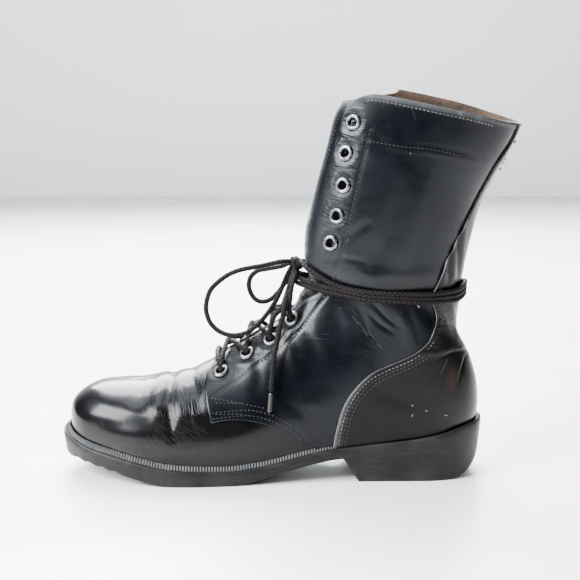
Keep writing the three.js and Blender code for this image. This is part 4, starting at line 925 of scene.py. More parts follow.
# Counter and backstay: one overlay of the same leather, stitched on from the shank round the heel and up the
# back of the shaft. It is pleated above the ankle and has a light rounded edge. Its pleat crests are lightened
# partly as wear and partly as painted highlight, and its troughs are darkened as painted shade.
COUNTER_OFF = QUARTER_STEP + 0.3 * MM + 1.5 * MM
COUNTER_FOLDS = [
    ([(5, 205), (8, 171), (9, 142)], 2.2, 0.9),
    ([(14, 208), (18, 170), (17, 138)], 2.4, 0.9),
    ([(23, 210), (24, 170), (25, 138)], 2.4, 0.9),
    ([(31, 210), (31, 169), (31, 136)], 2.6, 0.8),
    ([(9.5, 204), (13, 170), (13, 140)], 1.8, -0.9),
    ([(18.5, 206), (21, 170), (21, 140)], 1.8, -0.9),
    ([(27, 208), (27.5, 170), (28, 138)], 1.8, -0.9),
    ([(17, 128), (22, 114), (27, 101)], 2.0, -0.9),
    ([(14, 118), (20, 106), (27, 99)], 2.0, -0.7),
    ([(11, 108), (20, 100), (29, 97)], 1.8, -0.6),
    ([(24, 124), (27, 112), (29, 102)], 2.0, 0.7),
    ([(14, 88), (24, 90), (39, 88)], 1.0, -0.5),
    ([(38, 88), (33, 84), (30, 76), (28, 68)], 1.0, -0.4),
    ([(0, 92), (12, 92), (26, 94)], 3.0, 0.5),
    ([(-30, 68), (-14, 60), (4, 56)], 6.0, -0.4),
]


LEVELS = np.linspace(0.018, 0.29, 500)
level_back = halve(lambda at: column(SECTIONS, at)[:, 3] < LEVELS, 12.6, LAST_ROW, len(LEVELS))
level_x = np.interp(LEVELS, Z(counter_front[:, 1]), X(counter_front[:, 0]))
level_edge = {side: find_on_form(level_x, LEVELS, side)[0] for side in (-1, 1)}


def level_place(height, w):
    """Rows and angles on the line round the back at a height, from the outer edge at -1 to the inner at 1."""
    back = np.interp(height, LEVELS, level_back)
    edge = np.where(w < 0, np.interp(height, LEVELS, level_edge[-1]), np.interp(height, LEVELS, level_edge[1]))
    at = back - (back - edge) * w**2
    fx, fz, bx, bz, *_, widest, round_, square = column(SECTIONS, at).T
    t = np.clip((height - fz) / (bz - fz), 0, 1)
    near = t <= widest
    power = np.where(near, round_, square)
    c = np.maximum(np.where(near, 1 - t / widest, (t - widest) / (1 - widest)), 0) ** (power / 2)
    return at, np.where(w < 0, 1, -1) * np.arccos(np.clip(c * np.where(near, 1, -1), -1, 1))


def below_collar(height):
    p = form_point(*level_place(height, 2 * STRIPS - 1))
    return p[:, 2] < collar_height(p)


counter_top = halve(below_collar, 0.2, 0.285, len(STRIPS))


def counter_surface(u, v):
    w = 2 * v - 1
    side_of = np.where(w < 0, -1, 1)
    share = np.abs(w)
    low, high = 23.0 * MM, np.interp(v, STRIPS, counter_top)
    height = low + (high - low) * u
    at, angle = level_place(height, w)
    normal = form_normal(at, angle)
    normal[:, 1] = np.where(share < 0.02, 0.0, normal[:, 1])
    base = form_point(at, angle)
    flat = base[:, [0, 2]]
    rise = fold(flat, COUNTER_FOLDS) * np.where(side_of < 0, 1.0, 0.8)
    rise -= 0.9 * MM * np.exp(-(((flat[:, 1] - 0.132) / 0.009) ** 2))
    edge = np.clip((share - 0.965) / 0.035, 0, 1)
    rise -= 0.3 * MM * edge**2.5
    pleats = np.exp(-(((flat[:, 1] - 0.17) / 0.04) ** 2))
    notch = np.exp(-(((flat[:, 1] - 0.112) / 0.014) ** 2))
    marks = {
        # The wear lightens the rounded edge, the pleat crests (partly as painted highlight) and a patch low on the
        # heel's back.
        "wear": 0.8 * edge**2 + 0.09 * np.clip(rise / (0.9 * MM), 0, 1) * pleats
        + 0.06 * np.exp(-(((flat[:, 0] - 0.042) / 0.008) ** 2)) * np.exp(-(((flat[:, 1] - 0.06) / 0.02) ** 2)),
        # Painted shade: the troughs of the folds are darkened.
        "shade": np.clip(-rise / (1.2 * MM), 0, 1) * 0.6,
        "fine": np.clip(0.35 * pleats + 0.8 * notch, 0, 1),
    }
    return base + normal * (COUNTER_OFF + rise)[:, None], normal, marks


counter = panel(
    "counter_and_backstay", 215, 200, counter_surface, [counter_leather, flesh_side, raw_edge],
    thickness=2.0 * MM, inner=1, rim=2,
)
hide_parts("counter_backstay")


# Tongue: a soft leather flap under the lacing, from the vamp up to the collar, curled at its edges.
# x, z, half width and curl, in shares
TONGUE = np.array([
    (-0.500, 0.540, 0.17, 0.04), (-0.450, 0.632, 0.22, 0.09), (-0.381, 0.744, 0.26, 0.13),
    (-0.326, 0.826, 0.28, 0.16), (-0.287, 0.905, 0.29, 0.19), (-0.270, 0.975, 0.29, 0.19),
    (-0.257, 1.030, 0.29, 0.18), (-0.248, 1.090, 0.30, 0.17), (-0.240, 1.170, 0.31, 0.17),
    (-0.231, 1.290, 0.32, 0.17), (-0.218, 1.430, 0.33, 0.17), (-0.200, 1.580, 0.33, 0.17),
    (-0.180, 1.720, 0.32, 0.16), (-0.160, 1.850, 0.30, 0.14), (-0.146, 1.940, 0.22, 0.08),
])


def tongue_surface(u, v):
    x, z, half, curl = column(TONGUE, u * (len(TONGUE) - 1)).T
    x, z = X(x), Z(z)
    at = find_on_form(x, z, -1)[0]
    front, back = form_point(at, np.zeros(len(u))), form_point(at, np.full(len(u), math.pi))
    into = back - front
    into[:, 1] = 0
    into /= np.linalg.norm(into, axis=1)[:, None]
    w = 2 * v - 1
    behind = curl * w**2 * SHAFT_WIDTH
    y = column(SECTIONS, at)[:, 4] + half * SHAFT_WIDTH * w
    points = np.stack([x, y, z], axis=1) + into * behind[:, None]
    ripple = np.sin(z / (9 * MM) * 2 * math.pi) * np.exp(-(((z - 0.15) / 0.03) ** 2)) * 0.5 * MM
    points -= into * ripple[:, None]
    none = np.zeros(len(u))
    marks = {"wear": 0.25 * np.abs(w) ** 6, "shade": none, "fine": 0.5 + none}
    return points, -into, marks


tongue = panel("tongue_leather", 150, 40, tongue_surface, [quarter_leather, flesh_side, raw_edge],
               thickness=2.0 * MM, inner=1, rim=2)
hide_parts("tongue")


# Outsole: one moulded unit of charcoal rubber. Its side rises smoothly to a rounded shoulder, and the
# underside has toe spring, tread bars, an open shank and a slanted heel breast. The heel is worn at the back.
PLAN = np.array([
    (-0.822, 0.100, 0.200), (-0.798, 0.225, 0.318), (-0.755, 0.335, 0.408), (-0.690, 0.425, 0.466),
    (-0.615, 0.480, 0.488), (-0.545, 0.498, 0.474), (-0.475, 0.486, 0.440), (-0.400, 0.461, 0.396),
    (-0.325, 0.476, 0.394), (-0.250, 0.520, 0.430), (-0.170, 0.536, 0.468), (-0.090, 0.516, 0.478),
    (-0.020, 0.508, 0.490), (0.045, 0.494, 0.488), (0.098, 0.424, 0.424), (0.135, 0.270, 0.276),
    (0.152, 0.060, 0.070),
])
TOE_TIP = (-0.830, 0.050)
SOLE_MARGIN = 4 * MM
HEEL_MARGIN = 1.6 * MM + COUNTER_OFF
SHOULDER = 1.6 * MM
WAIST, HEEL_FLAT_END, HEEL_BACK = X(-0.25), X(0.06), X(0.16)
HEEL_BREAST, BREAST_SLANT, HEEL_WEAR = X(-0.169), 11 * MM, 15 * MM
SCALLOPS = (-244.5 * MM, -206.5 * MM)


def plan_loop(count):
    """Places and outward directions round the upper above the sole, and how far along each is."""
    width = foot_width(X(PLAN[:, 0]))
    outer = np.stack([X(PLAN[:, 0]), -PLAN[:, 1] * width], axis=1)
    inner = np.stack([X(PLAN[:, 0]), PLAN[:, 2] * width], axis=1)[::-1]
    tip = np.array([(X(TOE_TIP[0]), TOE_TIP[1] * BALL_WIDTH)])
    ring = np.concatenate([tip, outer, inner])
    padded = np.concatenate([ring[-3:], ring, ring[:3]])
    dense = column(padded, np.linspace(3, 3 + len(ring), 4001))
    along = np.concatenate([[0], np.cumsum(np.linalg.norm(np.diff(dense, axis=0), axis=1))])
    places = np.linspace(0, along[-1], count + 1)
    loop = np.stack([np.interp(places, along, dense[:, k]) for k in range(2)], axis=1)
    tangent = np.roll(loop[:-1], -1, axis=0) - np.roll(loop[:-1], 1, axis=0)
    tangent = np.concatenate([tangent, tangent[:1]])
    for _ in range(6):
        tangent[1:-1] = (tangent[:-2] + 2 * tangent[1:-1] + tangent[2:]) / 4
    tangent /= np.linalg.norm(tangent, axis=1)[:, None]
    return loop, np.stack([tangent[:, 1], -tangent[:, 0]], axis=1), places


def margin_at(x):
    return SOLE_MARGIN + (HEEL_MARGIN - SOLE_MARGIN) * ease(x, WAIST, HEEL_FLAT_END)


def ground_side(x):
    """Height of the underside."""
    under = profile(x, UNDER)
    breast = np.clip((HEEL_BREAST + BREAST_SLANT - x) / BREAST_SLANT, 0, 1) * profile([HEEL_BREAST], UNDER)[0]
    wear = HEEL_WEAR * np.clip((x - HEEL_FLAT_END) / (HEEL_BACK - HEEL_FLAT_END), 0, 1.2) ** 2.6
    scallops = 0.45 * MM * (1 - np.cos(2 * math.pi * (x - SCALLOPS[0]) / 9.5e-3))
    scallops = np.where((x > SCALLOPS[0]) & (x < SCALLOPS[1]), scallops, 0)
    return np.where(x < HEEL_BREAST, under + scallops, np.where(x < HEEL_FLAT_END, breast, wear))


# inset and height of the sole's side, from the seat over the shoulder to the ground. share is the way down
# from below the shoulder, inset and rise are in millimetres.
SOLE_SIDE = [
    (6.0, 0.0, -1.5), (4.2, 0.0, -0.6), (3.0, 0.0, -0.15), (2.3, 0.0, 0.0), (1.6, 0.0, -0.05),
    (1.0, 0.0, -0.25), (0.5, 0.0, -0.7), (0.15, 0.0, -1.4), (0.0, 0.0, -2.3), (0.05, 0.12, -3.0),
    (0.35, 0.25, -3.0), (0.75, 0.45, -2.6), (1.15, 0.65, -2.0), (1.5, 0.82, -1.2), (1.8, 0.93, -0.5),
    (2.3, 1.0, -0.15), (3.2, 1.0, 0.0),
]
SOLE_AROUND = 900
loop, outward, along_loop = plan_loop(SOLE_AROUND)
side_count = len(SOLE_SIDE) - 1
bm = new_bmesh()
bmesh.ops.create_grid(bm, x_segments=SOLE_AROUND, y_segments=side_count, size=1, calc_uvs=True)
uv_layer = bm.loops.layers.uv.verify()
sole_side = np.array(SOLE_SIDE)
flat = np.array([vert.co[:2] for vert in bm.verts])
k = np.rint((flat[:, 0] + 1) / 2 * SOLE_AROUND).astype(int)
inset, share, rise = sole_side[np.rint((flat[:, 1] + 1) / 2 * side_count).astype(int)].T
out = margin_at(loop[k, 0]) - inset * MM
x, y = (loop[k] + outward[k] * out[:, None]).T
rim, ground = profile(x, RIM), ground_side(x)
z = rim + (ground - rim) * share + rise * MM * np.where(share == 0, 1, 1 - share)
z = np.maximum(z, np.where(share < 1, ground - 0.2 * MM, ground))
for vert, place in zip(bm.verts, np.stack([x, y, z], axis=1)):
    vert.co = place
# The underside: a sheet from the outer edge to the inner one, with grooves between the bars of the tread.
ACROSS = 24
under_side = bmesh.ops.create_grid(bm, x_segments=ACROSS, y_segments=SOLE_AROUND // 2, size=1)["verts"]
flat = np.array([vert.co[:2] for vert in under_side])
row = np.rint((flat[:, 1] + 1) / 2 * (SOLE_AROUND // 2)).astype(int)
share = (flat[:, 0] + 1) / 2
rim_out = (margin_at(loop[:, 0]) - SOLE_SIDE[-1][0] * MM)[:, None]
foot_ring = loop + outward * rim_out
place = foot_ring[row] * (1 - share)[:, None] + foot_ring[SOLE_AROUND - row] * share[:, None]
from_edge = np.minimum(share, 1 - share) * np.linalg.norm(foot_ring[row] - foot_ring[SOLE_AROUND - row], axis=1)
bars = np.clip(np.sin(2 * math.pi * place[:, 0] / 9.5e-3) * 2.2 - 0.6, 0, 1) * ease(from_edge, 4 * MM, 6 * MM)
treaded = (place[:, 0] < X(-0.40)) | ((place[:, 0] > X(-0.11)) & (place[:, 0] < X(0.11)))
heights = ground_side(place[:, 0]) + np.where(treaded, 1.6 * MM * bars, 0)
for vert, (x, y), z in zip(under_side, place, heights):
    vert.co = (x, y, z)
bmesh.ops.remove_doubles(bm, verts=bm.verts, dist=2e-5)
bmesh.ops.recalc_face_normals(bm, faces=bm.faces)

rubber, tree, shader = new_material("charcoal rubber")
place = add(tree, "TexCoord").outputs["Object"]
brushed = add(tree, "Mapping", {"Vector": place, "Scale": (40, 40, 900)})
marks = add(tree, "TexNoise", {"Vector": brushed.outputs[0], "Scale": 1.0, "Detail": 4.0}).outputs[0]
cloud = add(tree, "TexNoise", {"Vector": place, "Scale": 45.0, "Detail": 4.0}).outputs[0]
pits = add(tree, "TexNoise", {"Vector": place, "Scale": 900.0, "Detail": 3.0}).outputs[0]
dust = use(tree, dust_tree, {"Place": place})
height_z = add(tree, "SeparateXYZ", {0: place}).outputs[2]
body_color = mix(tree, remap(tree, cloud, 0.35, 0.65), (0.0045, 0.0045, 0.0048, 1), (0.010, 0.0098, 0.0095, 1))
streaky = mix(tree, remap(tree, marks, 0.52, 0.72, 0.0, 0.12), body_color, (0.05, 0.049, 0.048, 1))
low_dust = math_node(tree, "MULTIPLY", remap(tree, height_z, 0.010, 0.0, 0.0, 0.05), remap(tree, cloud, 0.3, 0.6))
dusty = mix(tree, low_dust, streaky, (0.20, 0.19, 0.175, 1))
speckled = math_node(tree, "MULTIPLY", dust["Dust"], 0.05)
shader.inputs["Specular IOR Level"].default_value = 0.16
tree.links.new(mix(tree, speckled, dusty, (0.26, 0.25, 0.24, 1)), shader.inputs["Base Color"])
tree.links.new(remap(tree, cloud, 0.3, 0.7, 0.42, 0.62), shader.inputs["Roughness"])
tree.links.new(bump(tree, pits, 0.25, 0.0003, bump(tree, marks, 0.15, 0.0003)), shader.inputs["Normal"])
outsole = finish_mesh("outsole_rubber", bm, [rubber])
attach(outsole, "root")
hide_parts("outsole")


# Welt: a ribbed rubber strip on the shoulder of the sole, from breast to breast. Fine ribs cross it, 2 mm
# apart, and dust lies in them.
WELT_FROM, RIB_PITCH = X(-0.19), 2 * MM
# inset and height above the rim
WELT_RING = [(1.9, 0.15), (1.95, 0.7), (2.3, 1.5), (2.9, 2.3), (3.5, 3.1), (4.0, 3.7), (4.5, 3.9),
             (5.0, 3.4), (5.2, 1.8), (5.2, -0.4), (3.6, -0.5), (2.2, -0.4)]
covered = np.nonzero(loop[:, 0] < WELT_FROM)[0]
outer_end = covered[covered < SOLE_AROUND // 2].max()
inner_end = covered[covered > SOLE_AROUND // 2].min()
welt_start, welt_stop = along_loop[inner_end] - along_loop[-1], along_loop[outer_end]
welt_steps = int((welt_stop - welt_start) / (RIB_PITCH / 6))
bm = new_bmesh()
bmesh.ops.create_grid(bm, x_segments=len(WELT_RING), y_segments=welt_steps, size=1, calc_uvs=True)
full_along = np.concatenate([along_loop[:-1] - along_loop[-1], along_loop])
full_loop = np.concatenate([loop[:-1], loop])
full_out = np.concatenate([outward[:-1], outward])
flat = np.array([vert.co[:2] for vert in bm.verts])
ring_at = np.rint((flat[:, 0] + 1) / 2 * len(WELT_RING)).astype(int) % len(WELT_RING)
s = welt_start + (welt_stop - welt_start) * (flat[:, 1] + 1) / 2
base = np.stack([np.interp(s, full_along, full_loop[:, k]) for k in (0, 1)], axis=1)
away = np.stack([np.interp(s, full_along, full_out[:, k]) for k in (0, 1)], axis=1)
inset, rise = np.array(WELT_RING)[ring_at].T
rib = np.where((ring_at >= 1) & (ring_at <= 5), 0.28 * np.sin(2 * math.pi * s / RIB_PITCH), 0.0)
end = 0.35 + 0.65 * np.sqrt(np.clip(np.minimum(s - welt_start, welt_stop - s) / (5 * MM), 0, 1))
out = margin_at(base[:, 0]) - (inset - rib * 0.6) * MM
x, y = (base + away * out[:, None]).T
z = profile(x, RIM) + (rise * end + rib * 0.8) * MM
for vert, place in zip(bm.verts, np.stack([x, y, z], axis=1)):
    vert.co = place
bmesh.ops.remove_doubles(bm, verts=bm.verts, dist=1e-6)
bmesh.ops.holes_fill(bm, edges=[e for e in bm.edges if e.is_boundary], sides=0)
bmesh.ops.recalc_face_normals(bm, faces=bm.faces)
welt_rubber, tree, shader = new_material("welt rubber")
place = add(tree, "TexCoord").outputs["Object"]
cloud = add(tree, "TexNoise", {"Vector": place, "Scale": 60.0, "Detail": 4.0}).outputs[0]
pits = add(tree, "TexNoise", {"Vector": place, "Scale": 800.0, "Detail": 3.0}).outputs[0]
dust = use(tree, dust_tree, {"Place": place})
body_color = mix(tree, remap(tree, cloud, 0.35, 0.65), (0.008, 0.008, 0.0085, 1), (0.018, 0.0177, 0.0175, 1))
tree.links.new(mix(tree, math_node(tree, "MULTIPLY", dust["Dust"], 0.3), body_color, (0.22, 0.21, 0.20, 1)),
               shader.inputs["Base Color"])
shader.inputs["Specular IOR Level"].default_value = 0.35
tree.links.new(remap(tree, cloud, 0.3, 0.7, 0.45, 0.65), shader.inputs["Roughness"])
tree.links.new(bump(tree, pits, 0.3, 0.0003), shader.inputs["Normal"])
welt = finish_mesh("welt_ribbed", bm, [welt_rubber])
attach(welt, "root")
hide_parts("welt")


# Insole: a flat board covered with thin brown leather, inside on the bed of the sole.
def insole_surface(u, v):
    x = X(-0.80) + (X(0.13) - X(-0.80)) * (1 - np.cos(math.pi * u)) / 2
    width = foot_width(x)
    room = 3.0 * MM
    outer = -np.interp(x, X(PLAN[:, 0]), PLAN[:, 1]) * width + room
    inner = np.interp(x, X(PLAN[:, 0]), PLAN[:, 2]) * width - room
    y = outer + (inner - outer) * v
    z = profile(x, BED) + 4.0 * MM
    none = np.zeros(len(u))
    up = np.tile((0.0, 0.0, 1.0), (len(u), 1))
    return np.stack([x, y, z], axis=1), up, {"wear": none, "shade": none, "fine": none}


insole_finish = plain_noise("insole cover", (0.045, 0.026, 0.017, 1), (0.12, 0.075, 0.05, 1), 260.0, 0.8)
insole = panel("insole_board", 80, 30, insole_surface, [insole_finish], thickness=3.5 * MM)
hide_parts("insole")


# Eyelets: nine pressed nickel rings on each side, rolled over the leather and clinched inside.
metal, tree, shader = new_material("worn nickel")
place = add(tree, "TexCoord").outputs["Object"]
tarnish = add(tree, "TexNoise", {"Vector": place, "Scale": 420.0, "Detail": 5.0}).outputs[0]
dust = use(tree, dust_tree, {"Place": place})
tree.links.new(mix(tree, remap(tree, tarnish, 0.4, 0.65), (0.20, 0.20, 0.21, 1), (0.05, 0.048, 0.046, 1)),
               shader.inputs["Base Color"])
tree.links.new(remap(tree, tarnish, 0.3, 0.7, 0.20, 0.42), shader.inputs["Roughness"])
tree.links.new(bump(tree, tarnish, 0.15, 0.0002), shader.inputs["Normal"])
shader.inputs["Metallic"].default_value = 1.0
# radius and height above the quarter
RING_SECTION = [(2.95, -3.0), (2.95, -0.4), (3.05, 0.35), (3.35, 0.85), (3.9, 1.15), (4.6, 1.15), (5.2, 0.85),
                (5.6, 0.4), (5.7, 0.0), (5.3, -0.15), (3.7, -0.2), (3.7, -3.0)]
bm = new_bmesh()
for side in seats:
    for centre, normal in zip(seat_points[side], seat_normals[side]):
        turn = Vector(normal).to_track_quat("Z", "Y").to_matrix().to_4x4()
        matrix = Matrix.Translation(Vector(centre)) @ turn
        verts = [bm.verts.new((r * MM, 0, h * MM)) for r, h in RING_SECTION]
        edges = [bm.edges.new((a, b)) for a, b in zip(verts, verts[1:] + verts[:1])]
        spun = bmesh.ops.spin(bm, geom=verts + edges, cent=(0, 0, 0), axis=(0, 0, 1), angle=2 * math.pi,
                              steps=40, use_merge=True)
        touched = {v for g in spun["geom_last"] if isinstance(g, bmesh.types.BMVert) for v in [g]} | set(verts)
        ring = set()
        queue = list(v for v in touched if v.is_valid)
        while queue:
            vert = queue.pop()
            if vert in ring:
                continue
            ring.add(vert)
            queue.extend(e.other_vert(vert) for e in vert.link_edges if e.other_vert(vert) not in ring)
        bmesh.ops.transform(bm, matrix=matrix, verts=list(ring))
bmesh.ops.recalc_face_normals(bm, faces=bm.faces)
eyelets = finish_mesh("eyelets", bm, [metal])
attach(eyelets, "root")
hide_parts(*[f"eyelet_{label}_{k}" for label in ("outer", "inner") for k in range(1, 10)])


# Lace through the low eyelets: two bars cross between each pair and the next, out of the holes, over the
# facing edges and over each other. Two risers go from the third and fourth eyelet up to the knot.
OVER = QUARTER_STEP + 0.3 * MM + LACE / 2


def bar_path(from_side, from_k, to_side, to_k, over):
    at = [seats[from_side][0][from_k], seats[to_side][0][to_k]]
    angle = [seats[from_side][1][from_k], seats[to_side][1][to_k]]
    t = np.linspace(0, 1, 60)
    lift = np.interp(t, [0, 0.05, 0.16, 0.34, 0.5, 0.66, 0.84, 0.95, 1],
                     [-1.5, 1.2, 3.9, 4.4, 3.4 + over, 4.4, 3.9, 1.2, -1.5]) * MM
    lift = np.convolve(np.pad(lift, 3, mode="edge"), np.ones(7) / 7, mode="valid")
    rows = at[0] + (at[1] - at[0]) * t
    turns = angle[0] + (angle[1] - angle[0]) * t
    return evenly(off_form(rows, turns, lift), 0.0012)


bar_paths = [bar_path(-1, 0, 1, 0, 0.0)]
for k in range(3):
    bar_paths.append(bar_path(-1, k, 1, k + 1, 2.6 if k % 2 == 0 else -0.9))
    bar_paths.append(bar_path(1, k, -1, k + 1, -0.9 if k % 2 == 0 else 2.6))
RISERS = [
    [(-85, -12, 147), (-89, -19, 137), (-94, -24, 123), (-99.6, -25.5, 116), (-102.5, -26, 108),
     (-102.3, -24, 101.5), (-101, -19, 97.5)],
    [(-84, -13, 147), (-86.5, -19, 140), (-88, -23.5, 133), (-89, -24, 123), (-88.5, -22.5, 117), (-86, -17, 112.5)],
    [(-84, 6, 149), (-87, 14, 139), (-90, 20, 128), (-90.5, 22, 120), (-88, 18, 112.5)],
]
bars = cord_piece("lace_bars_braid", bar_paths + [curve_path(points) for points in RISERS], LACE / 2, [lace_finish], 10)
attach(bars, "root")
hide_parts("lace_bars")

# Lace round the ankle: three turns held by the boot, drawn tight. The upper one starts and ends at the knot,
# the others close in front in the throat.
# x, upper, middle, lower
WRAP = np.array([
    (-0.243, 1.128, 1.060, 1.036), (-0.218, 1.094, 1.048, 1.026), (-0.194, 1.066, 1.040, 1.018),
    (-0.158, 1.042, 1.026, 1.006), (-0.108, 1.028, 1.010, 0.990), (-0.040, 1.018, 0.998, 0.978),
    (0.028, 1.018, 0.997, 0.975), (0.084, 1.024, 0.999, 0.974), (0.125, 1.030, 1.003, 0.976),
])


def wrap_points(name, side, rows=WRAP, sink=0.0):
    x, z = X(rows[:, 0]), Z(rows[:, name])
    at, angle = find_on_form(x, z, side)
    off = OVER + (0.3 * MM + 1.5 * MM) * ease(x, X(0.006), X(0.03)) + 0.5 * MM - sink
    return off_form(at, angle, off)


# The first and last points of each turn, on the way from and to the knot.
TURN_ENDS = {
    1: ([(-82.0, -9.5, 152.4), (-80.6, -13.0, 152.8)], [(-82.9, 10.0, 151.6), (-83.2, -0.4, 151.5)]),
    2: ([(-84.0, -8.0, 147.5), (-82.8, -13.5, 142.6)], [(-82.6, 11.0, 142.6), (-84.0, 2.0, 147.0)]),
    3: ([(-85.4, -8.0, 146.5), (-84.6, -12.5, 139.2)], [(-83.8, 10.0, 139.2), (-84.8, 1.0, 145.0)]),
}
turns = [
    np.concatenate([np.array(first) * MM, wrap_points(name, -1), wrap_points(name, 1)[:-1][::-1], np.array(last) * MM])
    for name, (first, last) in TURN_ENDS.items()
]
wrap_paths = [curve_path(points / MM) for points in turns]
wrap = cord_piece("lace_wrap_braid", wrap_paths, LACE / 2, [lace_finish], 10)
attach(wrap, "root")
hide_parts("lace_wrap")


# Stitches: waxed thread in short stitches along the edges of the panels, about 2.8 mm apart. Most rows are
# dark, and the row at the collar and the counter's row nearest its edge are light.
thread_dark = plain_noise("dark thread", (0.010, 0.009, 0.009, 1), (0.035, 0.033, 0.031, 1), 1500.0, 0.6)
thread_light = plain_noise("light thread", (0.05, 0.047, 0.043, 1), (0.16, 0.15, 0.135, 1), 1500.0, 0.7)


def side_line(points, side, shift=0.0):
    """Rows and angles on the form for a line in side view in millimetres, moved across by a distance."""
    points = smooth_table(np.array(points, float) * MM, 10)
    tangent = np.gradient(points, axis=0)
    tangent /= np.linalg.norm(tangent, axis=1)[:, None]
    points = points + np.stack([-tangent[:, 1], tangent[:, 0]], axis=1) * shift * MM
    return find_on_form(points[:, 0], points[:, 1], side)


stitch_bm = bmesh.new()
bmesh.ops.create_uvsphere(stitch_bm, u_segments=6, v_segments=4, radius=1)
STITCH_POINTS = np.array([vert.co for vert in stitch_bm.verts])
STITCH_FACES = [[vert.index for vert in face.verts] for face in stitch_bm.faces]
stitch_bm.free()
sewn = {"points": [], "faces": [], "finish": []}


def sew(at, angle, height, pitch=2.8 * MM, long=1.9 * MM, thick=0.32 * MM, finish=0):
    """Short stitches along a line on the form, each a small rounded body."""
    path = off_form(at, angle, np.full(len(at), height))
    along = np.concatenate([[0], np.cumsum(np.linalg.norm(np.diff(path, axis=0), axis=1))])
    places = np.arange(pitch / 2, along[-1] - pitch / 2, pitch)
    rows, turns = np.interp(places, along, at), np.interp(places, along, angle)
    spots = off_form(rows, turns, np.full(len(rows), height))
    up = form_normal(rows, turns)
    ahead = np.stack([np.interp(places + 0.5 * MM, along, path[:, k]) for k in range(3)], axis=1) - spots
    across = np.cross(up, ahead)
    across /= np.linalg.norm(across, axis=1)[:, None]
    ahead = np.cross(across, up)
    for spot, a, b, c in zip(spots, ahead, across, up):
        start = len(sewn["points"]) * len(STITCH_POINTS)
        size = STITCH_POINTS * (long / 2, thick, thick * 0.8)
        sewn["points"].append(spot + size @ np.array([a, b, c]))
        sewn["faces"] += [[start + k for k in face] for face in STITCH_FACES]
        sewn["finish"] += [finish] * len(STITCH_FACES)


COLLAR_BAND = [(-51, 244), (-36, 239), (-14, 235), (6, 233), (27, 229), (47, 226)]
BOTTOM_ROW = [(-143, 47), (-128, 48.5), (-116, 49), (-103, 46), (-93, 41), (-84, 35), (-78, 27)]
BOX_TOP = [(-147, 60), (-136, 59), (-123, 57), (-106, 54)]
BOX = [(-141, 57), (-131, 57), (-121, 57)]
BOX_LOW = [(-141, 50), (-131, 50), (-121, 50)]
counter_mm = np.stack([X(counter_front[:, 0]), Z(counter_front[:, 1])], axis=1) / MM
for side in (-1, 1):
    sew(*side_line(EYESTAY, side), QUARTER_STEP + 0.1 * MM)
    sew(*side_line(COLLAR_BAND, side), QUARTER_STEP + 0.1 * MM)
    for points, shift in ((BOTTOM_ROW, 0.0), (BOTTOM_ROW, 3.6), (BOX_TOP, 0.0), (BOX, 0.0), (BOX_LOW, 0.0)):
        sew(*side_line(points, side, shift), QUARTER_STEP + 0.1 * MM)
    rows = np.linspace(8.0, 22.7, 200)
    inside = throat_angle(rows, side, 3.8 * MM)
    sew(rows, -side * inside, QUARTER_STEP + 0.1 * MM)
    v = np.linspace(0.08, 0.72, 160)
    at, angle = quarter_place(np.ones(160), v, side)
    sew(at - 0.20, angle, QUARTER_STEP + 0.1 * MM, finish=1)
    lower = counter_mm[(counter_mm[:, 1] < 104) & (counter_mm[:, 1] > 27)]
    for shift, index in ((-3.2, 1), (-5.4, 0), (-7.7, 0)):
        sew(*side_line(lower[::6], side, shift), COUNTER_OFF + 0.05 * MM, finish=index)
    upper_run = counter_mm[(counter_mm[:, 1] > 100) & (counter_mm[:, 1] < 205)]
    sew(*side_line(upper_run[::6], side, -3.4), COUNTER_OFF - 0.15 * MM)
stitch_mesh = bpy.data.meshes.new("stitches")
stitch_mesh.from_pydata(np.concatenate(sewn["points"]).tolist(), [], sewn["faces"])
for material in (thread_dark, thread_light):
    stitch_mesh.materials.append(material)
stitch_mesh.polygons.foreach_set("material_index", sewn["finish"])
stitch_mesh.polygons.foreach_set("use_smooth", [True] * len(sewn["finish"]))
stitches = bpy.data.objects.new("stitches", stitch_mesh)
bpy.context.scene.collection.objects.link(stitches)
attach(stitches, "root")


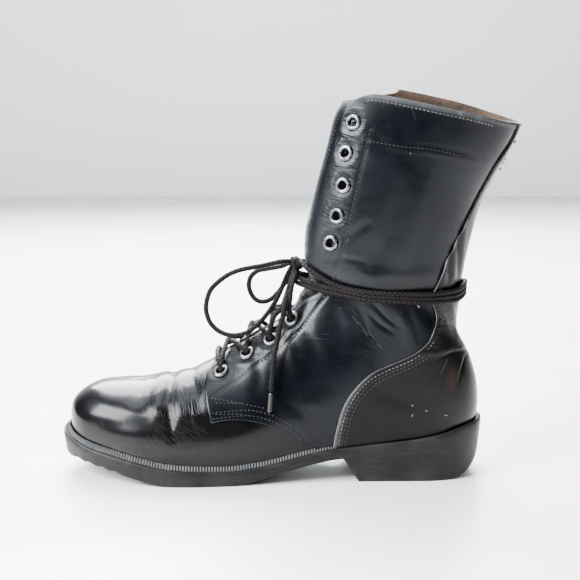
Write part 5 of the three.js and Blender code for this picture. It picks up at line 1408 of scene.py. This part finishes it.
# Floor and wall: plain and pale, not part of the boot. Soft light from a large window on the left.
floor_bm = bmesh.new()
bmesh.ops.create_grid(floor_bm, x_segments=2, y_segments=2, size=6)
bmesh.ops.translate(floor_bm, verts=floor_bm.verts, vec=(0, 4.6, 0))
floor_finish, tree, shader = new_material("pale floor")
place = add(tree, "TexCoord").outputs["Object"]
veins = add(tree, "TexNoise", {"Vector": place, "Scale": 5.0, "Detail": 6.0, "Distortion": 1.2}).outputs[0]
tree.links.new(mix(tree, remap(tree, veins, 0.4, 0.6), (0.74, 0.73, 0.71, 1), (0.82, 0.81, 0.80, 1)),
               shader.inputs["Base Color"])
shader.inputs["Roughness"].default_value = 0.35
floor = finish_mesh("floor", floor_bm, [floor_finish])
wall_bm = bmesh.new()
bmesh.ops.create_grid(wall_bm, x_segments=2, y_segments=2, size=4)
bmesh.ops.rotate(wall_bm, verts=wall_bm.verts, matrix=Matrix.Rotation(math.radians(90), 3, "X"))
bmesh.ops.translate(wall_bm, verts=wall_bm.verts, vec=(0, 3.0, 0))
wall_finish, tree, shader = new_material("white wall")
place = add(tree, "TexCoord").outputs["Object"]
paint = add(tree, "TexNoise", {"Vector": place, "Scale": 3.0, "Detail": 3.0}).outputs[0]
tree.links.new(mix(tree, paint, (0.86, 0.86, 0.86, 1), (0.90, 0.90, 0.90, 1)), shader.inputs["Base Color"])
shader.inputs["Roughness"].default_value = 0.9
wall = finish_mesh("wall", wall_bm, [wall_finish])

world = bpy.data.worlds.new("room")
bpy.context.scene.world = world
world.use_nodes = True
world.node_tree.nodes["Background"].inputs[0].default_value = (0.80, 0.88, 1.0, 1)
world.node_tree.nodes["Background"].inputs[1].default_value = 0.08
# name, place, size, watts
LIGHTS = [
    ("window", (-1.5, -0.8, 1.2), 1.2, 240.0),
    ("room front", (1.3, -1.6, 1.2), 0.7, 8.0),
    ("ceiling", (-0.2, 0.4, 2.2), 2.0, 100.0),
    ("wall light", (-0.3, 1.4, 1.4), 1.6, 330.0),
]
for name, spot, size, watts in LIGHTS:
    light = bpy.data.lights.new(name, "AREA")
    light.size = size
    light.energy = watts
    light.color = (0.92, 0.96, 1.0)
    lamp = bpy.data.objects.new(name, light)
    lamp.location = spot
    lamp.rotation_euler = (Vector((-0.09, 0, 0.1)) - Vector(spot)).to_track_quat("-Z", "Y").to_euler()
    bpy.context.scene.collection.objects.link(lamp)
